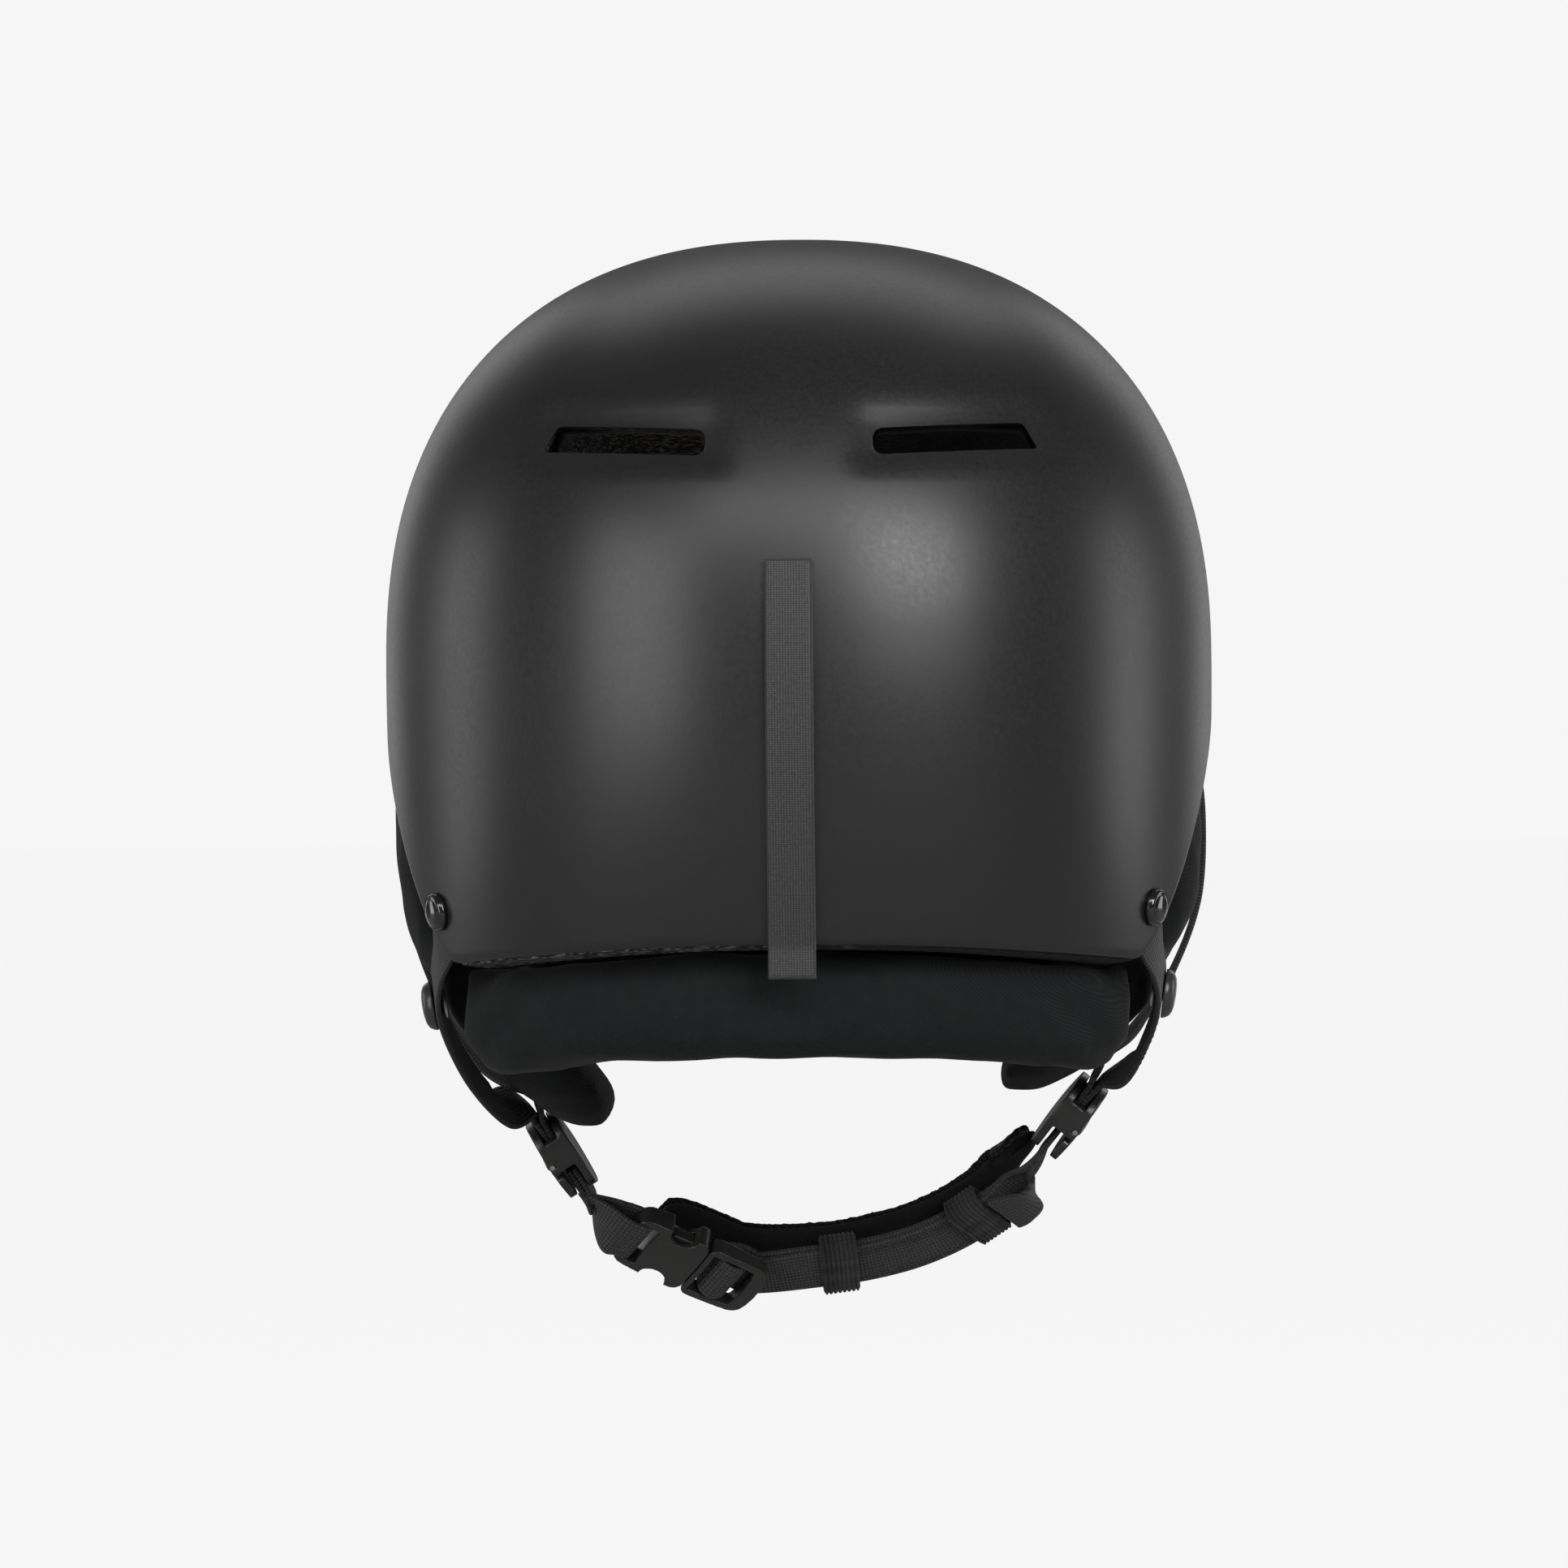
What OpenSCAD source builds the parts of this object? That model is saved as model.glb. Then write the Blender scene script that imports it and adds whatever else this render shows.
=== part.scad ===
/* [Shell] */
// Overall width of the hard shell
shell_w = 220; // [200:1:264]
// Overall length of the hard shell, front to rear
shell_l = 274; // [240:1:330]
// Height of the crown above the widest level
crown_h = 113; // [98:1:136]
// Depth of the rear corners below the widest level
skirt_h = 80; // [72:1:90]
// Wall of the moulded shell
shell_wall = 2.2; // [1.6:0.1:3]
// Thickness of the foam liner
foam_wall = 24; // [20:1:28]
// Height of the cut edge above the ears, below the widest level
ear_cut_h = 9; // [7:1:12]
// Height of the brow edge, below the widest level
brow_h = 20; // [15:1:24]

/* [Vents] */
// Length of each vent slot along the shell
vent_l = 40; // [30:1:44]
// Height of each vent slot
vent_h = 6.8; // [5.5:0.1:8.5]
// Height of the rear vents above the widest level
rear_vent_z = 54; // [48:1:60]
// Height of the front vents above the widest level
front_vent_z = 50; // [44:1:56]
// Half the bare width between the two vents of a pair
vent_inner_x = 21; // [16:1:26]

/* [Comfort pads] */
// Thickness of the comfort foam stuck inside the liner
comfort_t = 6.5; // [4:0.5:8]
// Thickness of the neck roll
neck_roll_t = 23; // [18:1:26]
// Height of the neck roll
neck_roll_h = 27; // [22:1:32]
// Thickness of the ear pads
ear_pad_t = 25; // [20:1:27]

/* [Straps] */
// Width of the strap webbing
web_w = 15; // [12:0.5:18]
// Thickness of the strap webbing
web_t = 1.4; // [1:0.1:1.6]
// Width of the goggle strap
goggle_w = 12; // [10:0.5:16]
// Thickness of the goggle strap
goggle_t = 2.2; // [2:0.1:3]
// Height of the top end of the goggle strap above the widest level
goggle_top_z = 24; // [15:1:32]
// Length of the goggle strap that hangs below the rear rim
goggle_tail = 8; // [5:1:12]

/* [Fasteners] */
// Diameter of the strap rivet heads
rivet_d = 10; // [8:0.5:12]
// Height of the strap rivet heads
rivet_h = 2.6; // [2:0.1:3.5]
// Diameter of the rivet shanks
shank_d = 4; // [3:0.5:5]
// Diameter of the ear pad snap caps
snap_d = 13; // [11:0.5:15]
// Height of the ear pad snap caps
snap_h = 3.4; // [2.5:0.1:4]

/* [Buckle and dividers] */
// Length of the side-release buckle, both halves joined
buckle_l = 41; // [38:1:46]
// Thickness of the buckle
buckle_t = 7.5; // [6.5:0.5:9]
// Plastic on each side of the webbing in buckle and dividers
side_wall = 3; // [2.5:0.1:4]
// Length of the strap dividers
divider_l = 23; // [20:1:26]
// Thickness of each divider leaf
leaf_t = 2.6; // [2.2:0.1:3]

/* [Chin pad] */
// Width of the chin pad cover
chin_pad_w = 16; // [14:1:20]
// Thickness of the chin pad cover
chin_pad_t = 3; // [2.5:0.5:5]
// Thickness of the fleece on the chin pad
fleece_t = 2; // [1.5:0.5:3]
// Length of each elastic keeper along the strap
keeper_l = 10; // [8:0.5:12]

/* [Hidden] */
$fn = 32;

black_shell = "#303031";
black_foam = "#1b1b1b";
black_cloth = "#141617";
black_web = "#2a2a2a";
dark_plastic = "#3a3735";

// Clearances
seat_gap = 0.3;
skin_gap = 0.5;
run_gap = 0.05;
hole_gap = 0.25;
plate_gap = 0.6;
ear_gap = 1.5;
roll_gap = 0.8;

// Shell form
dome_power = 2.34;
plan_power = 2.2;
rear_arch = 8;
side_tuck = 0.035;
rear_tuck = 0.12;
front_tuck = 0.03;
corner_angle = 54;
ear_angle = 96;
ear_sharp = 0.8;
brow_angle = 125;
sectors = 72;
dome_rings = 12;
skirt_rings = 6;
liner_drop = 1.5;
liner_out = shell_wall + skin_gap;
liner_in = liner_out + foam_wall;
pad_out = liner_in + seat_gap;
pad_in = pad_out + comfort_t;

function flip(p) = [-p[0], p[1], p[2]];
function unit(v) = v / norm(v);
function reversed(list) = [for (i = [len(list) - 1 : -1 : 0]) list[i]];
function sgn_pow(v, e) = sign(v) * pow(abs(v), e);
function smooth(t) = let (c = min(max(t, 0), 1)) c * c * (3 - 2 * c);
function unsmooth(s) = 0.5 - sin(asin(1 - 2 * min(max(s, 0), 1)) / 3);
function mix(a, b, t) = a + (b - a) * t;

// Lower edge of the shell, by the angle round from the rear
function rear_rim(b) = -skirt_h + rear_arch * pow(cos(min(b, 90)), 2);
function rim_z(a) = let (
        b = abs(a) > 180 ? 360 - abs(a) : abs(a),
        t = min(max((b - corner_angle) / (ear_angle - corner_angle), 0), 1),
        ear = smooth(pow(t, ear_sharp)),
        brow = smooth((b - brow_angle) / (180 - brow_angle))
    ) mix(rear_rim(b), -ear_cut_h, ear) + brow * (ear_cut_h - brow_h);

// A point of the shell form, by angle and height, set inwards by d
function plan_x(a, half) = half * sgn_pow(sin(a), 2 / plan_power);
function plan_y(a, half) = -half * sgn_pow(cos(a), 2 / plan_power);
function tuck(z, k) = 1 - k * pow(min(z, 0) / skirt_h, 2);
function dome(z, d) = z <= 0 ? 1
    : pow(max(0, 1 - pow(z / (crown_h - d), dome_power)), 1 / dome_power);
function shell_pt(a, z, d = 0) = [
    plan_x(a, (shell_w / 2 - d) * tuck(z, side_tuck) * dome(z, d)),
    plan_y(a, (shell_l / 2 - d) * tuck(z, cos(a) > 0 ? rear_tuck : front_tuck) * dome(z, d)),
    z];
step_a = 1;
function shell_normal(a, z) = unit(cross(
    shell_pt(a + step_a, z) - shell_pt(a - step_a, z),
    shell_pt(a, z + step_a) - shell_pt(a, z - step_a)));
function dome_z(k, d) = (crown_h - d) * pow(sin(90 * k / dome_rings), 2 / dome_power);
// Angle round from the rear at which the ear cut reaches a height
function cut_angle(z) = let (s = (z + skirt_h) / (skirt_h - ear_cut_h))
    corner_angle + (ear_angle - corner_angle) * pow(unsmooth(s), 1 / ear_sharp);

// Straps and pads are laid out on a helmet of these sizes, and stretch with the shell
layout_w = 220;
layout_l = 274;
layout_h = 80;
function fit(p) = [p[0] * shell_w / layout_w, p[1] * shell_l / layout_l, p[2] * skirt_h / layout_h];
function fit_all(list) = [for (p = list) fit(p)];

// Curve through a list of points, with n steps between each two
function blend(a, b, c, d, t) = 0.5 * (2 * b + (c - a) * t
    + (2 * a - 5 * b + 4 * c - d) * t * t + (3 * b - a - 3 * c + d) * t * t * t);
function curve(p, n) = concat([for (i = [0 : len(p) - 2]) for (k = [0 : n - 1])
    blend(p[max(i - 1, 0)], p[i], p[i + 1], p[min(i + 2, len(p) - 1)], k / n)],
    [p[len(p) - 1]]);
function heading(p, i) = unit(p[min(i + 1, len(p) - 1)] - p[max(i - 1, 0)]);
function square_to(w, t) = unit(w - (w * t) * t);

// Turns about X, Y and Z that carry the axes onto three square directions
function turns(ex, ey, ez) = [atan2(ey[2], ez[2]), -asin(ex[2]), atan2(ex[1], ex[0])];
module placed(at, ex, ey) {
    translate(at) rotate(turns(ex, ey, cross(ex, ey))) children();
}
// Children stand on the shell with +Z along its outward normal and +Y up it
module on_shell(a, z, d = 0) {
    n = shell_normal(a, z);
    up = square_to([0, 0, 1], n);
    placed(shell_pt(a, z) - d * n, cross(up, n), up) children();
}

// Closed skin over rings of equal count, closed at each end on a point
module skin(rings, first, last) {
    n = len(rings[0]);
    m = len(rings);
    points = concat([for (r = rings) each r], [first, last]);
    sides = [for (i = [0 : m - 2]) for (j = [0 : n - 1]) let (k = (j + 1) % n) each [
        [i * n + j, (i + 1) * n + j, (i + 1) * n + k],
        [i * n + j, (i + 1) * n + k, i * n + k]]];
    lid = [for (j = [0 : n - 1]) [m * n, j, (j + 1) % n]];
    base = [for (j = [0 : n - 1]) [m * n + 1, (m - 1) * n + (j + 1) % n, (m - 1) * n + j]];
    polyhedron(points = points, faces = concat(sides, lid, base));
}
function middle(ring) = [for (k = [0 : 2]) let (v = [for (p = ring) p[k]])
    (v * [for (p = ring) 1]) / len(ring)];
module loft(rings) {
    skin(rings, middle(rings[0]), middle(rings[len(rings) - 1]));
}

// Flat band: rectangular rings along a path, each with its own width direction
function band_rings(path, wide, w, t) = [for (i = [0 : len(path) - 1])
    let (h = heading(path, i), u = square_to(wide[i], h), n = cross(h, u))
    [path[i] + u * w / 2 + n * t / 2, path[i] - u * w / 2 + n * t / 2,
     path[i] - u * w / 2 - n * t / 2, path[i] + u * w / 2 - n * t / 2]];
module band(path, wide, w, t) {
    loft(band_rings(path, wide, w, t));
}
function offset_path(path, wide, d) = [for (i = [0 : len(path) - 1])
    let (h = heading(path, i), u = square_to(wide[i], h)) path[i] + cross(h, u) * d];
// Pad: rounded rings along a path
pad_sides = 16;
pad_power = 2.8;
function pad_ring(p, u, n, hw, ht) = [for (k = [0 : pad_sides - 1])
    let (a = -360 * k / pad_sides)
    p + u * hw * sgn_pow(cos(a), 2 / pad_power) + n * ht * sgn_pow(sin(a), 2 / pad_power)];
// How full a pad is at a share of its length, so that its ends are round
function fullness(s, end) = pow(1 - pow(1 - min(min(s, 1 - s) / end, 1), 2.5), 0.45);

// Shell and liner
function surface_rings(d, drop) = concat(
    [for (k = [dome_rings - 1 : -1 : 0]) [for (i = [0 : sectors - 1])
        shell_pt(i * 360 / sectors, dome_z(k, d), d)]],
    [for (j = [1 : skirt_rings]) [for (i = [0 : sectors - 1])
        let (a = i * 360 / sectors) shell_pt(a, (rim_z(a) - drop) * j / skirt_rings, d)]]);
module cap_shell(d1, d2, drop) {
    skin(concat(surface_rings(d1, drop), reversed(surface_rings(d2, drop))),
        [0, 0, crown_h - d1], [0, 0, crown_h - d2]);
}
vent_rise = 3;
vent_slant = 5;
vent_depth = 0.15;
// Slot with a slanted outer end, cut straight through front to rear
module vent_cut(from_y, to_y, z) {
    translate([vent_inner_x, from_y, z]) rotate([90, -vent_rise, 0])
        mirror([0, 0, to_y > from_y ? 1 : 0]) linear_extrude(abs(to_y - from_y))
            polygon([[0, -vent_h / 2], [vent_l + vent_slant, -vent_h / 2],
                [vent_l, vent_h / 2], [0, vent_h / 2]]);
}
module vents() {
    for (side = [0, 1]) mirror([side, 0, 0]) {
        vent_cut(-shell_l * vent_depth, -shell_l / 2, rear_vent_z);
        vent_cut(shell_l * vent_depth, shell_l / 2, front_vent_z);
    }
}

// Where the strap rivets stand: angle round from the rear, and height. The strap
// runs inside the shell from the rivet, on a line that falls along the given turn
rear_rivet_a = 57.4;
rear_rivet_z = -0.8 * skirt_h;
rear_turn = 1.1;
front_rivet_a = 110;
front_rivet_z = 6;
front_turn = 0.05;
rivet_lift = 0.1;
strap_seat = 0.8;
strap_in = shell_wall + strap_seat + web_t / 2;
washer_d = 11;
washer_t = 1;
washer_in = strap_in + web_t / 2 + 2 * seat_gap;
pocket_in = washer_in + washer_t + 2;
pocket_w = web_w + 5;
pocket_down = 32;
deg_len = shell_l * PI / 360;
// Strap centre inside the shell wall, s along the strap from the rivet
function strap_pt(a, z, turn, s) = let (b = a + s * turn / sqrt(1 + turn * turn) / deg_len,
        h = z - s / sqrt(1 + turn * turn), p = shell_pt(-b, h), n = shell_normal(-b, h))
    p - strap_in * n;
function strap_wide(a, z, turn) = unit(cross(shell_normal(-a, z),
    strap_pt(a, z, turn, 1) - strap_pt(a, z, turn, -1)));
// Children stand on the shell over a left-hand rivet, with +X down the strap
module at_rivet(a, z, turn) {
    n = shell_normal(-a, z);
    ex = square_to(strap_pt(a, z, turn, 1) - strap_pt(a, z, turn, -1), n);
    placed(shell_pt(-a, z), ex, cross(n, ex)) children();
}
module at_rivets() for (side = [0, 1]) mirror([side, 0, 0]) {
    at_rivet(rear_rivet_a, rear_rivet_z, rear_turn) children();
    at_rivet(front_rivet_a, front_rivet_z, front_turn) children();
}

// Goggle strap: its fixed end, its hinge line and its snap
goggle_root_l = 10;
goggle_hinge_z = goggle_top_z - goggle_root_l;
goggle_anchor_z = goggle_top_z - goggle_root_l / 2;
goggle_snap_z = -0.76 * skirt_h;
goggle_out = seat_gap + goggle_t / 2;
stud_d = 4.8;
stud_h = 1.5;
socket_d = 8;
anchor_head_d = 9;
anchor_head_t = 1.2;
goggle_steps = 16;
rim_rear = rim_z(0);
function goggle_path(from, to, n) = [for (i = [0 : n])
    let (z = mix(from, to, i / n), s = z >= rim_rear ? z : rim_rear)
    shell_pt(0, s) + goggle_out * shell_normal(0, s) + [0, 0, min(0, z - rim_rear)]];
function across(list) = [for (p = list) [1, 0, 0]];

module outer_shell() color(black_shell) difference() {
    cap_shell(0, shell_wall, 0);
    vents();
    at_rivets() translate([0, 0, -2 * shell_wall])
        cylinder(h = 4 * shell_wall, d = shank_d + 2 * hole_gap);
    for (z = [goggle_anchor_z, goggle_snap_z]) on_shell(0, z, 2 * shell_wall)
        cylinder(h = 4 * shell_wall, d = shank_d + 2 * hole_gap);
}

module eps_liner() color(black_foam) difference() {
    cap_shell(liner_out, liner_in, liner_drop);
    vents();
    at_rivets() translate([-pocket_w / 2, -pocket_w / 2, -pocket_in])
        cube([pocket_down + pocket_w / 2, pocket_w, pocket_in]);
    for (z = [goggle_anchor_z, goggle_snap_z]) on_shell(0, z, pocket_in)
        cylinder(h = pocket_in, d = anchor_head_d + 1);
}

// Comfort pads stuck inside the liner
comfort_rings = 3;
crown_pad_low = 52;
module crown_pad() color(black_cloth) {
    out = [for (k = [1 : comfort_rings]) let (f = mix(90, crown_pad_low, k / comfort_rings))
        [for (i = [0 : pad_sides * 2 - 1]) shell_pt(i * 180 / pad_sides,
            (crown_h - pad_out) * pow(sin(f), 2 / dome_power), pad_out)]];
    in = [for (k = [1 : comfort_rings]) let (f = mix(90, crown_pad_low, k / comfort_rings))
        [for (i = [0 : pad_sides * 2 - 1]) shell_pt(i * 180 / pad_sides,
            (crown_h - pad_in) * pow(sin(f), 2 / dome_power), pad_in)]];
    skin(concat(in, reversed(out)), [0, 0, crown_h - pad_in], [0, 0, crown_h - pad_out]);
}
// Band of foam inside the liner between two angles, from its low to its high edge
band_steps = 14;
module foam_band(a1, a2, low, high) color(black_cloth)
    loft([for (i = [0 : band_steps]) let (a = mix(a1, a2, i / band_steps))
        [shell_pt(a, high, pad_in), shell_pt(a, high, pad_out), shell_pt(a, mix(high, low, 0.5), pad_out),
         shell_pt(a, low, pad_out), shell_pt(a, low, pad_in), shell_pt(a, mix(high, low, 0.5), pad_in)]]);
brow_pad_half = 42;
brow_pad_high = 16;
back_pad_half = 40;
back_pad_low = -58;
back_pad_high = -14;
side_pad_from = 62;
side_pad_to = 122;
side_pad_low = 4;
side_pad_high = 30;
module brow_pad() foam_band(180 - brow_pad_half, 180 + brow_pad_half, -brow_h + 2, brow_pad_high);
module back_pad() foam_band(-back_pad_half, back_pad_half, back_pad_low, back_pad_high);
module side_pad_right() foam_band(side_pad_from, side_pad_to, side_pad_low, side_pad_high);
module side_pad_left() mirror([1, 0, 0]) side_pad_right();

// Padded neck roll under the rear of the liner
roll_half = 61;
roll_steps = 24;
roll_in = shell_wall + 1.5;
module neck_roll() color(black_cloth)
    loft([for (i = [0 : roll_steps]) let (
            s = i / roll_steps,
            a = mix(-roll_half, roll_half, s),
            f = fullness(s, 0.07),
            z = rim_z(a) - liner_drop - roll_gap - neck_roll_h / 2,
            out = shell_pt(a, z),
            dir = unit([out[0], out[1], 0]),
            p = out - dir * (roll_in + neck_roll_t / 2))
        pad_ring(p, [0, 0, 1], -dir, neck_roll_h / 2 * f, neck_roll_t / 2 * f)]);

// Ear pads: share of the way down, outer face, share of the thickness, rear and front ends
ear_rows = [[0, 101, 0.5, 0, 40], [0.04, 104.5, 0.75, -8, 45], [0.11, 106.3, 0.95, -24, 47],
    [0.22, 106.6, 1, -38, 46], [0.35, 105.6, 1, -45, 43], [0.48, 104.4, 1, -46, 38],
    [0.6, 100, 1, -43, 33], [0.73, 91.8, 1, -36, 29], [0.84, 82, 1, -27, 26],
    [0.92, 73.8, 0.95, -18, 23], [0.98, 66.5, 0.7, -10, 20], [1, 61.5, 0.35, -3, 16]];
ear_sides = 20;
ear_power = 2.8;
ear_top = -(ear_cut_h + liner_drop + ear_gap);
ear_low_left = -121.5;
ear_low_right = -113;
// Rearmost place beside the edge of the liner, at a height and a distance in from the side
function beside_cut(z, x) = z < -skirt_h * 0.9 ? -shell_l
    : shell_pt(cut_angle(z + liner_drop + ear_gap / 2), z, shell_w / 2 - x)[1] + ear_gap;
module ear_pad(low) color(black_cloth)
    loft([for (r = ear_rows) let (
            z = mix(ear_top, low * skirt_h / layout_h, r[0]),
            out = r[1] * shell_w / layout_w,
            t = ear_pad_t * r[2],
            y1 = r[3] * shell_l / layout_l,
            y2 = r[4] * shell_l / layout_l)
        [for (k = [0 : ear_sides - 1]) let (
                a = 360 * k / ear_sides,
                x = out - t / 2 + t / 2 * sgn_pow(cos(a), 2 / ear_power),
                y = (y1 + y2) / 2 + (y2 - y1) / 2 * sgn_pow(sin(a), 2 / ear_power))
            [-x, max(y, beside_cut(z, x)), z]]]);
module ear_pad_left() ear_pad(ear_low_left);
module ear_pad_right() mirror([1, 0, 0]) ear_pad(ear_low_right);

// Strap dividers, given for the left side: centre and direction down the strap
divider_at = [fit([-65.5, 17, -131]), fit([-71.8, 17, -121.7])];
divider_dir = [unit([12.5, 7, -20]), unit([12, 7, -15.3])];
divider_w = web_w + 2 * side_wall;
divider_room = 2 * web_t + 4 * seat_gap + 0.6;
divider_t = divider_room + 2 * leaf_t;
pin_d = 1.4;
knuckle_d = 3.4;
hinge_x = -1;
hinge_in = -divider_room / 2 - leaf_t / 2;
cheek_t = 1.6;
flap_gap = 0.4;
function divider_wide(s) = square_to([0, 1, 0], divider_dir[s]);
function divider_up(s) = cross(divider_dir[s], divider_wide(s));
function in_divider(s, x, z) = divider_at[s] + divider_dir[s] * x + divider_up(s) * z;
module at_divider(s) {
    placed(divider_at[s], divider_dir[s], divider_wide(s)) children();
}
// Block with corners rounded in plan, centred across, from x1 to x2 and z1 to z2
module slab(x1, x2, w, z1, z2, r) {
    translate([0, 0, z1]) linear_extrude(z2 - z1) {
        translate([x1 + r, -w / 2]) square([x2 - x1 - 2 * r, w]);
        translate([x1, -w / 2 + r]) square([x2 - x1, w - 2 * r]);
        for (x = [x1 + r, x2 - r]) for (y = [-w / 2 + r, w / 2 - r]) translate([x, y]) circle(r);
    }
}
module across_pin(x, z, w, d) {
    translate([x, 0, z]) rotate([90, 0, 0]) cylinder(h = w, d = d, center = true);
}
module divider_base(s) color(dark_plastic) at_divider(s) difference() {
    union() {
        slab(-divider_l / 2, divider_l / 2, divider_w, divider_room / 2, divider_t / 2, leaf_t);
        slab(-divider_l / 2, hinge_x - knuckle_d / 2 - flap_gap, divider_w,
            -divider_t / 2, -divider_room / 2, leaf_t);
        for (side = [-1, 1]) translate([-divider_l / 2 + leaf_t, side * (divider_w - cheek_t) / 2, 0])
            translate([0, -cheek_t / 2, -divider_t / 2])
                cube([divider_l / 2 - leaf_t + knuckle_d / 2, cheek_t, divider_t - leaf_t / 2]);
    }
    across_pin(hinge_x, hinge_in, 2 * divider_w, pin_d);
}
module divider_flap(s) color(dark_plastic) at_divider(s) difference() {
    union() {
        across_pin(hinge_x, hinge_in, divider_w - 2 * cheek_t - 2 * flap_gap, knuckle_d);
        slab(hinge_x, divider_l / 2, divider_w - 2 * cheek_t - 2 * flap_gap,
            -divider_t / 2, -divider_room / 2 - flap_gap / 2, leaf_t / 2);
        slab(hinge_x + knuckle_d + flap_gap, divider_l / 2, divider_w,
            -divider_t / 2, -divider_room / 2 - flap_gap / 2, leaf_t);
    }
    across_pin(hinge_x, hinge_in, 2 * divider_w, pin_d + 2 * run_gap);
}
module divider_base_left() divider_base(0);
module divider_base_right() mirror([1, 0, 0]) divider_base(1);
module divider_flap_left() divider_flap(0);
module divider_flap_right() mirror([1, 0, 0]) divider_flap(1);
module divider_pins() color("silver") {
    at_divider(0) across_pin(hinge_x, hinge_in, divider_w, pin_d);
    mirror([1, 0, 0]) at_divider(1) across_pin(hinge_x, hinge_in, divider_w, pin_d);
}

// Rear and front strap branches, from the rivets to the dividers
route_steps = 5;
branch_end = 1;
branch_lift = web_t / 2 + seat_gap / 2;
branch_fan = 2.3;
branch_lead = 7;
rear_run = 8;
front_run = front_rivet_z + ear_cut_h + 2;
rear_route = [
    fit_all([[-93.6, -55, -78], [-94.6, -41, -89], [-89.5, -21, -105], [-81.5, -3, -117]]),
    fit_all([[-93.6, -55, -78], [-94.6, -41, -87], [-92.5, -22, -97], [-88.5, -5, -106.5]])];
front_route = [
    fit_all([[-105.5, 51, -25], [-108.6, 46, -42], [-107.4, 36, -66], [-98, 27, -91], [-86.5, 19, -107]]),
    fit_all([[-105.5, 51, -25], [-108.6, 46, -42], [-107.4, 36, -64], [-99.5, 26, -84], [-89.5, 19, -98]])];
rear_wide = [[-0.1, 0.5, 0.85], [-0.15, 0.6, 0.8], [-0.2, 0.7, 0.7], [-0.2, 0.8, 0.5]];
front_wide = [[0.3, 1, 0], [0.1, 1, 0], [0, 1, 0], [0, 1, 0], [0, 1, 0.1]];
function inner_pts(a, z, turn, run) = [for (s = [-web_w / 2, 0, run]) strap_pt(a, z, turn, s)];
function inner_wides(a, z, turn) = [for (s = [0 : 2]) -strap_wide(a, z, turn)];
function entry_pts(s, side) = [in_divider(s, -divider_l / 2 - branch_lead, side * branch_fan),
    in_divider(s, -divider_l / 2, side * branch_lift), in_divider(s, branch_end, side * branch_lift)];
function entry_wides(s) = [for (i = [0 : 2]) divider_wide(s)];
function rear_pts(s) = concat(inner_pts(rear_rivet_a, rear_rivet_z, rear_turn, rear_run),
    rear_route[s],
    entry_pts(s, -1));
function front_pts(s) = concat(inner_pts(front_rivet_a, front_rivet_z, front_turn, front_run),
    front_route[s],
    entry_pts(s, 1));
function rear_wides(s) = concat(inner_wides(rear_rivet_a, rear_rivet_z, rear_turn), rear_wide,
    entry_wides(s));
function front_wides(s) = concat(inner_wides(front_rivet_a, front_rivet_z, front_turn), front_wide,
    entry_wides(s));
module branch(points, wides) {
    band(curve(points, route_steps), curve(wides, route_steps), web_w, web_t);
}
module at_snap(s) {
    along = unit(rear_route[s][2] - rear_route[s][0]);
    placed(rear_route[s][1], square_to(rear_wide[1], along), along) children();
}
module rear_strap(s) color(black_web) difference() {
    branch(rear_pts(s), rear_wides(s));
    at_rivet(rear_rivet_a, rear_rivet_z, rear_turn) translate([0, 0, -2 * strap_in])
        cylinder(h = 2 * strap_in, d = shank_d + 2 * hole_gap);
    at_snap(s) cylinder(h = 4 * web_t, d = shank_d + 2 * hole_gap, center = true);
}
module front_strap(s) color(black_web) difference() {
    branch(front_pts(s), front_wides(s));
    at_rivet(front_rivet_a, front_rivet_z, front_turn) translate([0, 0, -2 * strap_in])
        cylinder(h = 2 * strap_in, d = shank_d + 2 * hole_gap);
}
module rear_strap_left() rear_strap(0);
module rear_strap_right() mirror([1, 0, 0]) rear_strap(1);
module front_strap_left() front_strap(0);
module front_strap_right() mirror([1, 0, 0]) front_strap(1);

// Domed head of a rivet or snap, standing on z = 0
module dome_head(d, h) {
    r = (d * d / 4 + h * h) / (2 * h);
    intersection() {
        translate([0, 0, h - r]) sphere(r);
        cylinder(h = h, d = d + h);
        translate([0, 0, h / 2]) cube([2 * d, 2 * d, h], center = true);
    }
}
shank_end = 0.8;
shank_l = washer_in + washer_t + shank_end;
module strap_rivets() color("#202020") at_rivets() {
    translate([0, 0, rivet_lift]) dome_head(rivet_d, rivet_h);
    translate([0, 0, -shank_l]) cylinder(h = shank_l + rivet_lift + shank_end, d = shank_d);
}
module rivet_washers() color("silver") at_rivets() translate([0, 0, -washer_in - washer_t])
    difference() {
        cylinder(h = washer_t, d = washer_d);
        translate([0, 0, -washer_t]) cylinder(h = 3 * washer_t, d = shank_d + 2 * run_gap);
    }
stud_l = 3;
module ear_snap() {
    translate([0, 0, web_t / 2 + seat_gap / 2]) dome_head(snap_d, snap_h);
    translate([0, 0, -web_t / 2 - seat_gap]) cylinder(h = stud_l, d = shank_d);
    translate([0, 0, -web_t / 2 - seat_gap - 1]) cylinder(h = 1, d = shank_d * 2);
}
module ear_snaps() color("#202020") {
    at_snap(0) ear_snap();
    mirror([1, 0, 0]) at_snap(1) ear_snap();
}

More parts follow.
